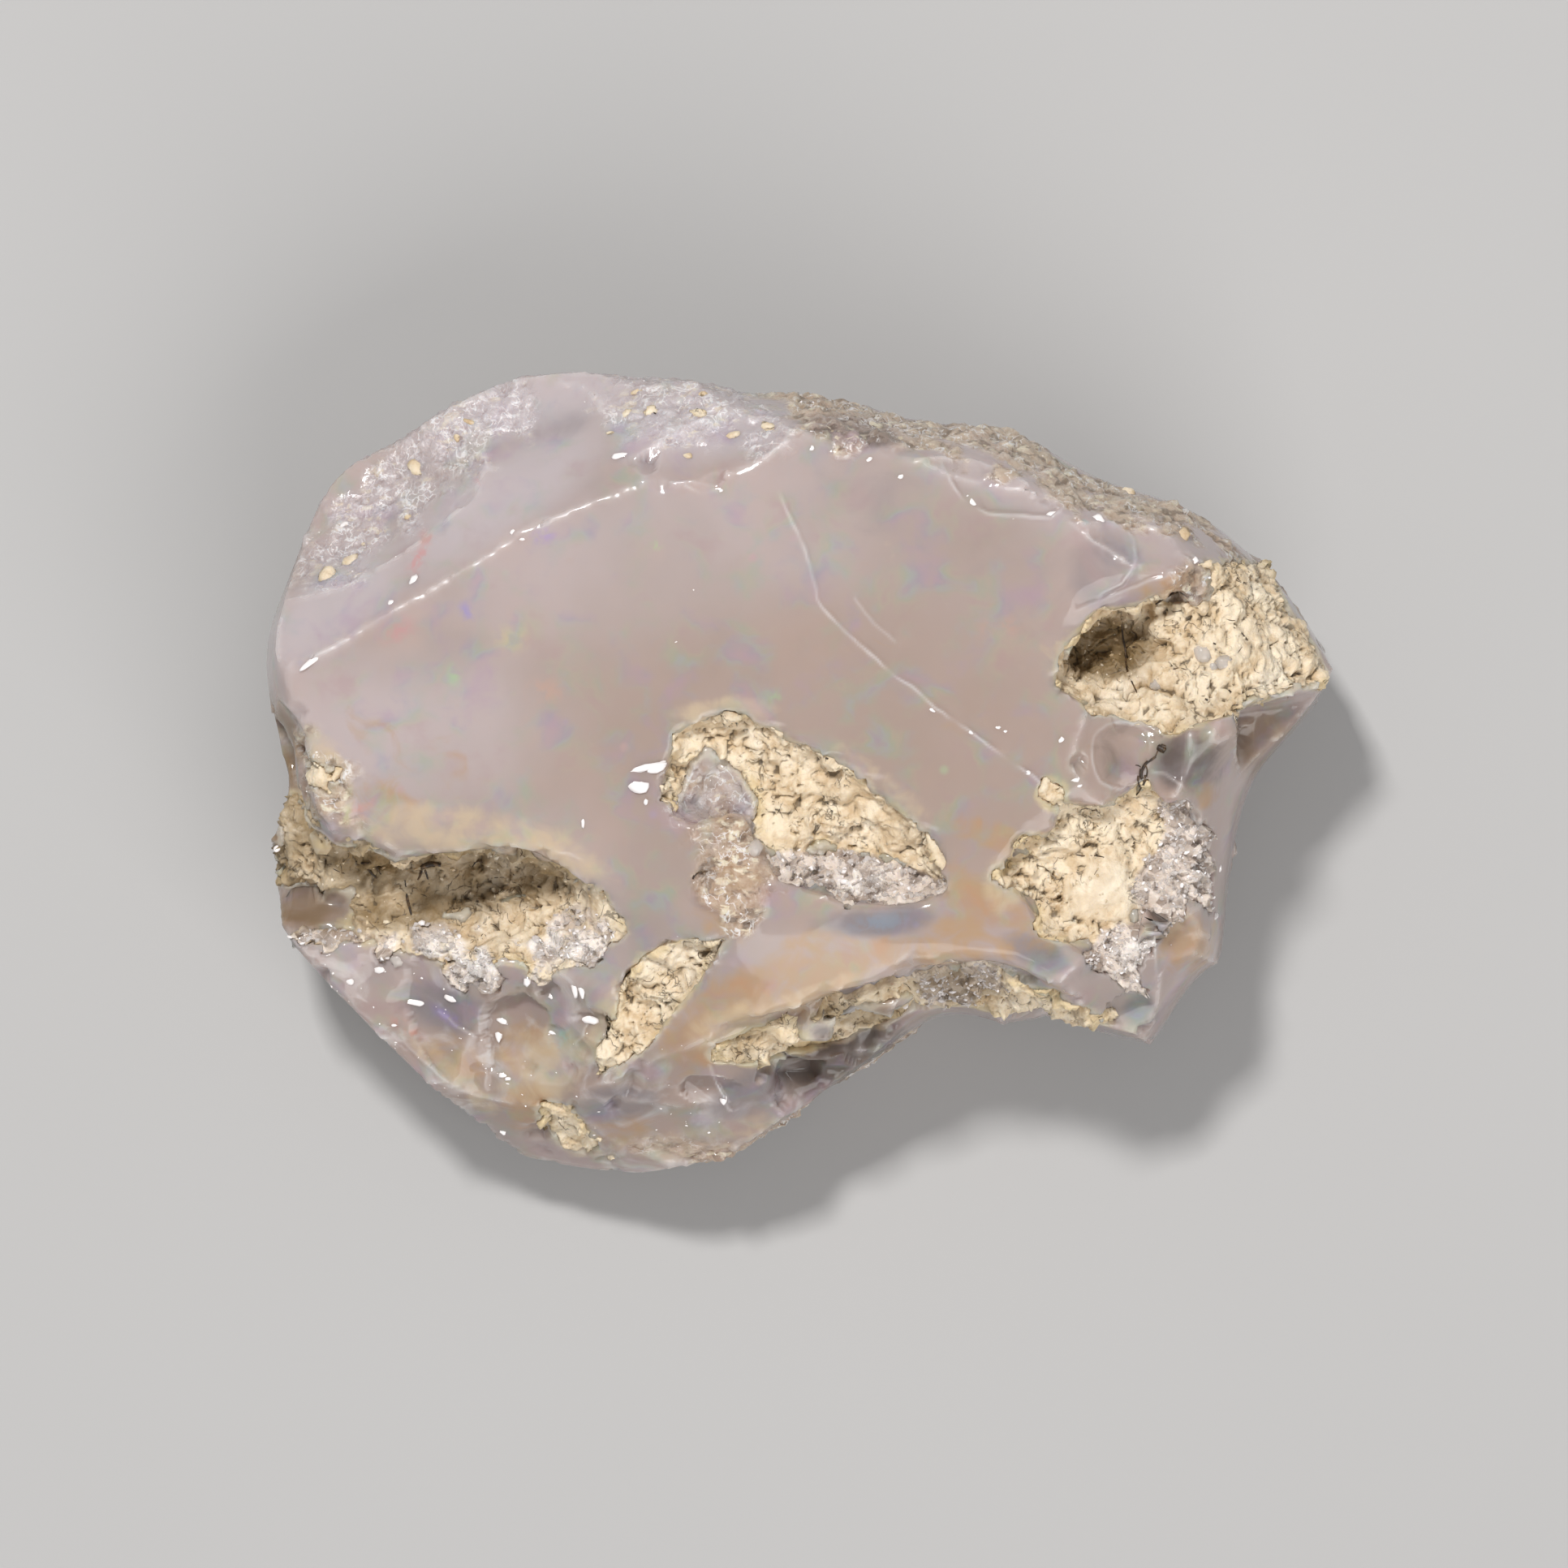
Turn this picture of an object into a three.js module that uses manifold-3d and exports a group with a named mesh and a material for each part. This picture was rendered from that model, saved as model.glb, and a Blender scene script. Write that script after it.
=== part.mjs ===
// A piece of rough precious opal as it comes from the ground: a chip of milky opal with one broad
// glossy face, broken edges, and pits that still hold the pale host rock it grew in.
// Millimetres, +Z up. The stone lies on its flattened back with the glossy face up. The origin is on
// the surface it rests on, under the middle of its outline. X runs along its length, and the long
// bevel is to the north, +Y.

import * as THREE from "three";
import { ImprovedNoise } from "three/addons/math/ImprovedNoise.js";
import { mergeVertices } from "three/addons/utils/BufferGeometryUtils.js";
import Module from "manifold-3d";

// Driving dimensions
const LENGTH = 27.0;
const WIDTH = 20.3;
const FACE_HEIGHT = 9.35; // of the glossy face over the base, at FACE_MIDDLE
const FACE_MIDDLE = [-2, 2];
const FACE_SLOPE = [0.02, 0.085]; // the face rises to the east and the north
const FACE_CROWN = 0.0035; // and is slightly domed, so much per square millimetre

// How finely the broken surfaces are modelled
const OPAL_CELL = 1.5;
const ROCK_CELL = 0.66;
const SCAR_CELLS = 7; // across a flake scar's length
const SIDE_COLUMNS = 140;
const SIDE_RINGS = 10;

const WELD = 1e-4; // vertices closer than this are one
const CLEAR = 3; // how far a cutting shape reaches past the stone
const BREAK_REACH = 19; // from the middle of a break to where its cutting block ends

// The stone's outline from above, anticlockwise from the eastern tip.
const STONE_OUTLINE = [
  [13.5, 2.6], [13.25, 3.2], [12.9, 3.7], [12.5, 4.3], [12.0, 5.0], [11.1, 5.75], [10.1, 6.6],
  [9.5, 6.87], [8.6, 7.05], [7.6, 7.35], [6.9, 7.75], [6.1, 8.3], [5.2, 8.7], [4.2, 8.75], [2.9, 8.8],
  [2.2, 9.1], [1.0, 9.4], [-0.1, 9.5], [-1.3, 9.45], [-2.4, 9.85], [-3.1, 10.0], [-3.7, 9.85],
  [-4.6, 9.95], [-5.3, 10.15], [-6.9, 9.95], [-8.1, 9.5], [-9.3, 8.85], [-10.1, 8.25], [-11.1, 7.85],
  [-11.8, 7.2], [-12.4, 6.0], [-12.9, 4.7], [-13.3, 3.8], [-13.5, 2.9], [-13.3, 1.9], [-13.1, 0.6],
  [-12.85, -0.1], [-13.0, -1.0], [-13.35, -1.9], [-13.3, -3.0], [-12.95, -4.1], [-12.1, -5.1],
  [-10.9, -6.3], [-9.6, -7.6], [-8.0, -9.0], [-7.1, -9.85], [-5.9, -10.05], [-4.3, -10.15],
  [-3.2, -10.0], [-2.1, -9.87], [-1.2, -9.4], [-0.3, -8.8], [0.6, -8.1], [1.5, -7.6], [2.5, -6.95],
  [3.1, -6.25], [3.9, -5.98], [4.6, -6.15], [5.3, -6.4], [6.4, -6.15], [7.2, -6.5], [8.3, -6.8],
  [9.05, -6.83], [9.5, -6.05], [9.9, -5.25], [10.6, -4.8], [10.85, -4.1], [10.85, -2.9], [11.1, -1.6],
  [11.25, -0.6], [11.6, 0.05], [12.3, 0.75], [13.1, 1.75],
];

// The stone's side is widest at a height that differs round it, and draws in above and below.
const SIDE_WIDEST = { height: 4.4, swing: 1.4, highest: 135 };
const SIDE_CURVE = 0.055;

// Breaks round the glossy face, anticlockwise. Each starts at a ridge and falls away on the ridge's
// right, by so many degrees. A ridge point without a height lies on the glossy face. bowl is how much
// the break is hollowed along and across its ridge, per square millimetre. rock breaks carry host rock.
const UPPER_BREAKS = [
  { ridge: [[13.1, 1.9, 6.1], [11.9, 5.0, 6.6]], fall: 44, bowl: [0.01, 0.01], rock: true },
  { ridge: [[11.5, 4.9, 8.2], [6.3, 6.9]], fall: 54, bowl: [0.004, 0.01], rock: true },
  { ridge: [[5.6, 7.5], [-0.1, 8.45]], fall: 52, bowl: [0.004, 0.01], rock: true },
  { ridge: [[-0.2, 8.45], [-3.3, 7.4]], fall: 47, bowl: [0.02, 0.02], rock: false },
  { ridge: [[-3.3, 7.4], [-6.8, 5.9]], fall: 42, bowl: [0.012, 0.02], rock: false },
  { ridge: [[-6.8, 5.9], [-12.4, 2.55]], fall: 38, bowl: [0.008, 0.03], rock: false },
  { ridge: [[-7.0, -4.6, 7.0], [-3.2, -7.6, 6.6]], fall: 27, bowl: [0.012, 0.02], rock: false },
  { ridge: [[-8.5, -9.0, 2.9], [-5.0, -9.8, 3.1]], fall: 62, bowl: [0.004, 0.004], rock: false },
  { ridge: [[-2.9, -4.2], [2.6, -3.9]], fall: 21, bowl: [0.004, 0.01], rock: false },
  { ridge: [[-4.4, -8.7, 5.1], [-0.6, -8.3, 5.4]], fall: 46, bowl: [0.01, 0.02], rock: false },
  { ridge: [[7.4, -6.0, 7.0], [9.3, -4.4, 7.2]], fall: 48, bowl: [0.02, 0.03], rock: false },
  { ridge: [[9.3, -4.6, 7.3], [10.9, -0.3, 7.8]], fall: 48, bowl: [0.006, 0.02], rock: false },
];

// Breaks of the underside. Each starts at a ridge on the flat base and rises on the ridge's right.
const UNDER_BREAKS = [
  { ridge: [[7.8, -3.4], [8.0, 3.2]], rise: 36, bowl: [0.01, 0.012] },
  { ridge: [[8.0, 3.2], [3.0, 6.2]], rise: 40, bowl: [0.006, 0.02] },
  { ridge: [[3.0, 6.2], [-4.5, 7.0]], rise: 46, bowl: [0.01, 0.01] },
  { ridge: [[-4.5, 7.0], [-8.2, 4.5]], rise: 41, bowl: [0.008, 0.02] },
  { ridge: [[-8.2, 4.5], [-8.8, -3.5]], rise: 38, bowl: [0.012, 0.012] },
  { ridge: [[-8.8, -3.5], [-5.2, -7.2]], rise: 27, bowl: [0.006, 0.01] },
  { ridge: [[-5.2, -7.2], [2.5, -6.2]], rise: 28, bowl: [0.01, 0.01] },
  { ridge: [[2.5, -6.2], [7.8, -3.4]], rise: 40, bowl: [0.01, 0.02] },
];

// Shell-shaped flake scars: where the flake was thickest, the way that it faces (degrees round from +X,
// and down from straight up), the turn of its long axis, its half sizes, and its depth below a flat
// face there.
const SCARS = [
  { at: [6.2, 5.4, 9.08], facing: 257, tilt: 4, turn: 55, radii: [8.5, 4.4], depth: 0.47 },
  { at: [4.9, 7.45, 9.0], facing: 80, tilt: 22, turn: -88, radii: [1.9, 0.9], depth: 0.3 },
  { at: [8.3, 5.8, 8.75], facing: 60, tilt: 26, turn: -80, radii: [1.5, 0.9], depth: 0.3 },
  { at: [-6.6, 8.4, 7.45], facing: 113, tilt: 36, turn: 90, radii: [2.0, 1.2], depth: 0.35 },
  { at: [-10.6, 6.1, 6.75], facing: 124, tilt: 34, turn: 88, radii: [2.6, 1.2], depth: 0.4 },
  { at: [-1.9, 8.05, 8.85], facing: 110, tilt: 30, turn: 90, radii: [1.6, 0.8], depth: 0.3 },
  { at: [8.05, 0.4, 8.4], facing: 0, tilt: 8, turn: 0, radii: [0.9, 1.1], depth: 0.25 },
  { at: [10.1, -4.6, 6.5], facing: -15, tilt: 40, turn: 60, radii: [1.3, 1.0], depth: 0.3 },
  { at: [8.5, -6.1, 6.5], facing: -80, tilt: 42, turn: 80, radii: [1.2, 0.9], depth: 0.3 },
  { at: [-9.1, -6.0, 5.05], facing: 225, tilt: 22, turn: 80, radii: [2.4, 1.5], depth: 0.35 },
  { at: [-6.3, -7.2, 5.25], facing: 215, tilt: 30, turn: 20, radii: [1.8, 1.4], depth: 0.35 },
  { at: [-3.0, -9.0, 4.35], facing: 262, tilt: 44, turn: 85, radii: [2.0, 1.1], depth: 0.3 },
  { at: [4.4, -1.4, 0.3], facing: 30, tilt: 176, turn: 20, radii: [3.0, 2.2], depth: 0.35 },
  { at: [-5.2, 2.4, 0.25], facing: 120, tilt: 177, turn: 70, radii: [2.6, 1.8], depth: 0.3 },
  { at: [-11.0, 3.0, 2.6], facing: 165, tilt: 140, turn: 90, radii: [2.8, 1.9], depth: 0.5 },
  { at: [-1.2, 8.6, 2.6], facing: 92, tilt: 132, turn: 90, radii: [3.2, 1.5], depth: 0.5 },
];

// Broken ground below the glossy face, inside outlines drawn from above. floor gives its height there.
const GROOVE_OUTLINE = [
  [-14.6, 2.5], [-13.3, 2.05], [-12.75, 1.6], [-12.3, 1.05], [-12.35, 0.1], [-12.1, -0.75],
  [-11.6, -1.5], [-11.0, -1.95], [-9.6, -2.05], [-8.3, -1.98], [-7.7, -1.85], [-6.5, -2.0],
  [-5.8, -2.45], [-4.9, -3.1], [-4.35, -3.95], [-4.9, -4.5], [-6.0, -5.15], [-7.3, -5.0], [-8.5, -5.2],
  [-9.6, -4.9], [-11.0, -5.1], [-12.3, -5.0], [-13.6, -4.9], [-14.8, -4.6],
];
const LEDGE_OUTLINE = [
  [-2.3, -7.3], [-2.25, -6.75], [-1.8, -6.25], [-0.7, -6.05], [0.1, -5.85], [0.8, -5.5], [1.8, -5.3],
  [2.6, -5.0], [3.6, -4.78], [4.8, -4.7], [5.7, -4.95], [6.4, -5.4], [7.3, -5.75], [7.7, -6.3],
  [7.9, -8.0], [4.5, -8.6], [2.6, -10.2], [-1.0, -11.4], [-1.4, -9.6], [-1.75, -8.4], [-2.1, -7.8],
];
const EAST_STEP_OUTLINE = [
  [10.9, 1.6], [10.95, 0.9], [10.95, 0.3], [11.2, -0.3], [11.6, -1.2], [14.4, -0.8], [15.0, 2.2],
  [13.6, 2.25], [12.6, 1.95], [11.8, 1.75],
];
const EAST_PIT_OUTLINE = [
  [6.4, 2.15], [6.7, 2.85], [7.3, 3.55], [8.0, 3.98], [8.8, 4.1], [9.5, 4.6], [9.95, 5.3], [10.8, 5.4],
  [11.9, 5.3], [12.9, 4.7], [14.4, 3.6], [14.6, 2.3], [13.1, 2.25], [12.2, 2.0], [11.2, 1.7],
  [10.4, 1.3], [9.4, 1.1], [8.4, 1.2], [7.3, 1.7],
];
const MIDDLE_PIT_OUTLINE = [
  [-3.4, -0.35], [-3.05, 0.6], [-2.5, 1.25], [-1.7, 1.45], [-0.9, 1.1], [0.1, 0.65], [1.0, 0.15],
  [1.9, -0.65], [2.9, -1.5], [3.35, -2.2], [3.7, -2.9], [2.9, -3.2], [1.7, -3.3], [0.6, -3.05],
  [-0.5, -2.6], [-1.05, -1.8], [-1.3, -1.0], [-2.3, -1.2], [-3.2, -0.8],
];
const SOUTH_EAST_PIT_OUTLINE = [
  [6.2, -0.3], [6.9, -0.8], [7.7, -0.8], [8.4, -0.25], [9.1, -0.75], [9.8, -0.9], [10.15, -1.8],
  [10.4, -3.0], [9.9, -3.45], [9.0, -3.85], [8.8, -4.7], [8.3, -5.4], [7.5, -4.9], [6.9, -4.35],
  [6.1, -3.95], [5.7, -3.2], [5.1, -2.5], [5.5, -1.9], [6.3, -1.5], [6.5, -0.95],
];
const SLANTING_PIT_OUTLINE = [
  [-1.85, -4.3], [-2.9, -4.25], [-3.9, -4.7], [-4.4, -5.4], [-4.7, -6.3], [-5.1, -7.1], [-5.05, -7.65],
  [-4.3, -7.25], [-3.5, -6.5], [-2.9, -5.7], [-2.35, -5.0],
];

const CARVINGS = [
  { outline: GROOVE_OUTLINE, floor: grooveFloor },
  { outline: LEDGE_OUTLINE, floor: ledgeFloor },
  { outline: EAST_STEP_OUTLINE, floor: (x) => 5.9 - 0.35 * (x - 11.5) },
  { outline: EAST_PIT_OUTLINE, floor: eastPitFloor },
  { outline: MIDDLE_PIT_OUTLINE, floor: middlePitFloor },
  { outline: SOUTH_EAST_PIT_OUTLINE, floor: southEastPitFloor },
  { outline: SLANTING_PIT_OUTLINE, floor: slantingPitFloor },
];

// Hollows worn in under an overhanging lip: ellipsoids, turned by so many degrees from +X.
const UNDERCUTS = [
  { at: [-12.6, -0.2, 5.9], radii: [1.0, 1.9, 1.0], turn: 12 },
  { at: [-9.4, -2.35, 6.2], radii: [2.9, 0.95, 1.1], turn: 0 },
  { at: [-6.5, -2.9, 6.8], radii: [1.4, 0.8, 0.75], turn: -32 },
  { at: [7.8, 3.3, 7.3], radii: [1.4, 0.95, 1.0], turn: 28 },
  { at: [9.2, 4.2, 8.1], radii: [0.8, 0.45, 0.4], turn: 22 },
  { at: [1.0, -6.5, 5.9], radii: [2.2, 0.8, 0.6], turn: 20 },
];

const OPAL_RIPPLE = { size: 4.0, height: 0.1 };
const SCAR_RIPPLE = { size: 1.6, height: 0.03 };
const SIDE_RIPPLE = { size: 2.2, height: 0.12 };
const HOLLOW_RIPPLE = { size: 0.6, height: 0.25 }; // on a ball of radius 1
const ROCK_LUMPS = { size: 1.25, height: 0.6 };

const noise = new ImprovedNoise();

function relief({ size, height }, x, y, z) {
  return height * noise.noise(x / size, y / size, z / size);
}

// Rises smoothly from 0 to 1 as a value passes from low to high.
function ramp(value, low, high) {
  return THREE.MathUtils.smoothstep(value, low, high);
}

function faceHeight(x, y) {
  const [u, v] = [x - FACE_MIDDLE[0], y - FACE_MIDDLE[1]];
  return FACE_HEIGHT + FACE_SLOPE[0] * u + FACE_SLOPE[1] * v - FACE_CROWN * (u * u + v * v);
}

// The groove: a steep wall under the lip, a valley, and host rock that climbs to the south-western
// mass.
function grooveFloor(x, y, inside) {
  const wall = 8.0 - 2.4 * inside;
  const eastEnd = 6.9 + 1.1 * (x + 5.6);
  const rockSlope = 5.3 + 0.15 * (x + 9) - 0.75 * (y + 3.7);
  return Math.max(Math.min(wall, 8.3), Math.min(rockSlope, 6.9), eastEnd) + relief(ROCK_LUMPS, x, y, 1);
}

const ROCK_BAND_WIDTH = 1.2;

// The ledge: a band of host rock under the lip, then a lower layer that falls to the edge.
function ledgeFloor(x, y, inside) {
  const rockBand = 7.45 - 0.5 * inside + relief(ROCK_LUMPS, x, y, 2);
  const lowerLayer = 5.5 + 0.5 * (y + 6.3);
  return inside < ROCK_BAND_WIDTH ? rockBand : lowerLayer;
}

// The eastern pit: deepest under its north-western lip, then a hump of host rock that falls to the
// eastern tip.
function eastPitFloor(x, y, inside) {
  const hole = Math.hypot((x - 7.7) / 1.5, (y - 3.0) / 1.0);
  const hump = 8.85 - 0.5 * Math.max(x - 9.6, 0) - 2.2 * Math.exp(-hole * hole);
  return hump - 0.3 * ramp(inside, 0, 0.8) + relief(ROCK_LUMPS, x, y, 3);
}

// The middle pit: a hooked trench with a shelf in its lower half.
function middlePitFloor(x, y, inside) {
  const depth = 0.5 + 0.65 * ramp(inside, 0, 0.9) + 0.3 * ramp(x, 0, 2);
  return faceHeight(x, y) - depth + 0.8 * relief(ROCK_LUMPS, x, y, 4);
}

// The south-eastern pit, with a smooth round lump of host rock standing in it.
function southEastPitFloor(x, y, inside) {
  const lump = 0.95 * ramp(1 - Math.hypot(x - 7.6, y + 2.8) / 1.15, 0, 1);
  const fall = 0.55 * Math.max(x - 8.3, 0);
  return faceHeight(x, y) - 0.6 - 0.8 * ramp(inside, 0, 0.9) - fall + lump + relief(ROCK_LUMPS, x, y, 5);
}

function slantingPitFloor(x, y, inside) {
  return 7.7 + 0.42 * (y + 5) + 0.1 * (x + 3) - 0.5 * ramp(inside, 0, 0.7) + relief(ROCK_LUMPS, x, y, 6);
}

// A closed curve through an outline's points, as evenly spaced points.
function roundOutline(points, count) {
  const corners = points.map(([x, y]) => new THREE.Vector3(x, y, 0));
  return new THREE.CatmullRomCurve3(corners, true, "centripetal").getSpacedPoints(count).slice(0, -1);
}

// Distance from a point to an outline in plan, positive inside it.
function insideDistance(outline, x, y) {
  let nearest = Infinity;
  let inside = false;
  outline.forEach((b, i) => {
    const a = outline[(i + outline.length - 1) % outline.length];
    const [runX, runY] = [b.x - a.x, b.y - a.y];
    const share = ((x - a.x) * runX + (y - a.y) * runY) / (runX * runX + runY * runY);
    const along = THREE.MathUtils.clamp(share, 0, 1);
    nearest = Math.min(nearest, Math.hypot(x - a.x - along * runX, y - a.y - along * runY));
    if (a.y > y !== b.y > y && x < (runX * (y - a.y)) / runY + a.x) inside = !inside;
  });
  return inside ? nearest : -nearest;
}

// A closed geometry as a solid that can be joined and cut.
function solidFrom(wasm, geometry) {
  geometry.deleteAttribute("normal");
  geometry.deleteAttribute("uv");
  const merged = mergeVertices(geometry, WELD);
  return new wasm.Manifold(
    new wasm.Mesh({
      numProp: 3,
      vertProperties: new Float32Array(merged.attributes.position.array),
      triVerts: new Uint32Array(merged.index.array),
    }),
  );
}

// The stone before it is broken: an upright block with the stone's outline and a gently rounded side.
function sideBlock() {
  const [low, high] = [-CLEAR, FACE_HEIGHT + CLEAR];
  const block = new THREE.CylinderGeometry(1, 1, high - low, SIDE_COLUMNS, SIDE_RINGS);
  block.rotateX(Math.PI / 2).translate(0, 0, (low + high) / 2);
  const edge = roundOutline(STONE_OUTLINE, SIDE_COLUMNS);
  const position = block.attributes.position;
  for (let i = 0; i < position.count; i++) {
    const [x, y, z] = [position.getX(i), position.getY(i), position.getZ(i)];
    if (Math.hypot(x, y) < 0.5) continue;
    const turn = Math.atan2(y, x) / (2 * Math.PI);
    const rim = edge[Math.round((turn + 1) * SIDE_COLUMNS) % SIDE_COLUMNS];
    const fromHighest = Math.atan2(rim.y, rim.x) - THREE.MathUtils.degToRad(SIDE_WIDEST.highest);
    const off = Math.abs(z - SIDE_WIDEST.height - SIDE_WIDEST.swing * Math.cos(fromHighest));
    const ripple = off * Math.max(0, relief(SIDE_RIPPLE, rim.x, rim.y, z / 2));
    const share = 1 - (SIDE_CURVE * off * off + ripple) / rim.length();
    position.setXYZ(i, rim.x * share, rim.y * share, z);
  }
  return block;
}

// A block whose lower face is a broken surface: flat, bowed by so much along X and Y, and rippled. It
// faces +Z.
function breakBlock(reach, bowl, cell, ripple) {
  const count = Math.round((2 * reach) / cell);
  const block = new THREE.BoxGeometry(2 * reach, 2 * reach, reach, count, count, 1);
  block.translate(0, 0, reach / 2);
  const position = block.attributes.position;
  for (let i = 0; i < position.count; i++) {
    if (position.getZ(i) > reach / 2) continue;
    const [u, v] = [position.getX(i), position.getY(i)];
    position.setZ(i, bowl[0] * u * u + bowl[1] * v * v + relief(ripple, u, v, 10 * bowl[1] + 0.5));
  }
  return block;
}

// The block that breaks the stone away beyond a ridge. upward is +1 for the upper side and -1 for the
// underside.
function ridgeBreak(ridge, angle, bowl, rock, upward) {
  const [start, end] = ridge.map(
    ([x, y, z]) => new THREE.Vector3(x, y, z ?? (upward > 0 ? faceHeight(x, y) : 0)),
  );
  const along = end.clone().sub(start).normalize();
  const outward = new THREE.Vector3(along.y, -along.x, 0).normalize();
  const slope = THREE.MathUtils.degToRad(angle);
  const lean = outward.multiplyScalar(Math.sin(slope)).setZ(upward * Math.cos(slope));
  const normal = lean.addScaledVector(along, -lean.dot(along)).normalize();
  const across = normal.clone().cross(along);
  const cut = breakBlock(BREAK_REACH, bowl, rock ? ROCK_CELL : OPAL_CELL, rock ? ROCK_LUMPS : OPAL_RIPPLE);
  const middle = start.add(end).multiplyScalar(0.5);
  return cut.applyMatrix4(new THREE.Matrix4().makeBasis(along, across, normal).setPosition(middle));
}

// The block that leaves the glossy face.
function faceBreak() {
  const block = breakBlock(BREAK_REACH, [-FACE_CROWN, -FACE_CROWN], OPAL_CELL, OPAL_RIPPLE);
  const normal = new THREE.Vector3(-FACE_SLOPE[0], -FACE_SLOPE[1], 1).normalize();
  const turn = new THREE.Quaternion().setFromUnitVectors(new THREE.Vector3(0, 0, 1), normal);
  return block.applyQuaternion(turn).translate(FACE_MIDDLE[0], FACE_MIDDLE[1], FACE_HEIGHT);
}

// The small domed block that knocks out one flake.
function scarBlock({ at, facing, tilt, turn, radii, depth }) {
  const reach = 2 * Math.max(...radii);
  const bowl = radii.map((radius) => depth / (radius * radius));
  const block = breakBlock(reach, bowl, (2 * Math.max(...radii)) / SCAR_CELLS, SCAR_RIPPLE);
  block.rotateZ(THREE.MathUtils.degToRad(turn)).rotateY(THREE.MathUtils.degToRad(tilt));
  return block.rotateZ(THREE.MathUtils.degToRad(facing)).translate(...at);
}

// An upright prism of an outline, from below the stone to above it.
function prism(edge) {
  const shape = new THREE.Shape(edge.map((p) => new THREE.Vector2(p.x, p.y)));
  const height = FACE_HEIGHT + 2 * CLEAR;
  return new THREE.ExtrudeGeometry(shape, { depth: height, bevelEnabled: false }).translate(0, 0, -CLEAR);
}

// Everything above a carving's floor, inside its outline.
function carvingSolid(wasm, { outline, floor }) {
  const edge = roundOutline(outline, Math.round(outline.length * 2.2));
  const box = new THREE.Box3().setFromPoints(edge).expandByScalar(ROCK_CELL);
  const size = box.getSize(new THREE.Vector3());
  const middle = box.getCenter(new THREE.Vector3());
  const [countX, countY] = [size.x, size.y].map((side) => Math.round(side / ROCK_CELL));
  const block = new THREE.BoxGeometry(size.x, size.y, 2, countX, countY, 1);
  block.translate(middle.x, middle.y, 0);
  const position = block.attributes.position;
  for (let i = 0; i < position.count; i++) {
    const [x, y] = [position.getX(i), position.getY(i)];
    const height = floor(x, y, Math.max(insideDistance(edge, x, y), 0));
    position.setZ(i, position.getZ(i) > 0 ? FACE_HEIGHT + CLEAR : height);
  }
  return solidFrom(wasm, block).intersect(solidFrom(wasm, prism(edge)));
}

// A roughened ellipsoid.
function hollowBlock({ at, radii, turn }) {
  const hollow = new THREE.IcosahedronGeometry(1, 3);
  const position = hollow.attributes.position;
  for (let i = 0; i < position.count; i++) {
    const [x, y, z] = [position.getX(i), position.getY(i), position.getZ(i)];
    const swell = 1 + relief(HOLLOW_RIPPLE, x, y, z + at[0]);
    position.setXYZ(i, x * swell, y * swell, z * swell);
  }
  return hollow.scale(...radii).rotateZ(THREE.MathUtils.degToRad(turn)).translate(...at);
}

// Everything below the flat base that the stone rests on.
function baseBlock() {
  return new THREE.BoxGeometry(2 * LENGTH, 2 * LENGTH, 2 * CLEAR).translate(0, 0, -CLEAR);
}

// Centres the broken stone over the origin, and stretches it by under one part in a hundred to its
// stated size.
function fitToSize(geometry) {
  geometry.computeBoundingBox();
  const size = geometry.boundingBox.getSize(new THREE.Vector3());
  const middle = geometry.boundingBox.getCenter(new THREE.Vector3());
  geometry.translate(-middle.x, -middle.y, 0).scale(LENGTH / size.x, WIDTH / size.y, 1);
}

async function makeStone() {
  const wasm = await Module();
  wasm.setup();
  const cuts = [baseBlock(), faceBreak()];
  for (const { ridge, fall, bowl, rock } of UPPER_BREAKS) cuts.push(ridgeBreak(ridge, fall, bowl, rock, 1));
  for (const { ridge, rise, bowl } of UNDER_BREAKS) cuts.push(ridgeBreak(ridge, rise, bowl, false, -1));
  cuts.push(...SCARS.map(scarBlock), ...UNDERCUTS.map(hollowBlock));

  let solid = solidFrom(wasm, sideBlock());
  for (const cut of cuts) solid = solid.subtract(solidFrom(wasm, cut));
  for (const carving of CARVINGS) solid = solid.subtract(carvingSolid(wasm, carving));

  const { vertProperties, triVerts } = solid.getMesh();
  const geometry = new THREE.BufferGeometry();
  geometry.setAttribute("position", new THREE.BufferAttribute(new Float32Array(vertProperties), 3));
  geometry.setIndex(new THREE.BufferAttribute(new Uint32Array(triVerts), 1));
  fitToSize(geometry);
  geometry.computeVertexNormals();
  return geometry;
}

const opal = new THREE.Mesh(
  await makeStone(),
  new THREE.MeshStandardMaterial({ color: 0xb5a59d, roughness: 0.2, metalness: 0 }),
);
opal.name = "rough_opal";

const specimen = new THREE.Group();
specimen.add(opal);

export default specimen;
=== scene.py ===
"""Looks of a piece of rough precious opal: a chip of milky opal with a broad glossy face, glassy broken
edges and pits of pale host rock.

The classes hold their sizes in millimetres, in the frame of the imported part. Meshes are made in
millimetres and turned into metres at the end."""

import colorsys
import itertools
import logging
import math
from dataclasses import dataclass, field
from enum import Enum
from typing import Iterable, Sequence

import bmesh
import bpy
import numpy as np
from mathutils import Matrix, Vector, kdtree
from mathutils.bvhtree import BVHTree


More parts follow.
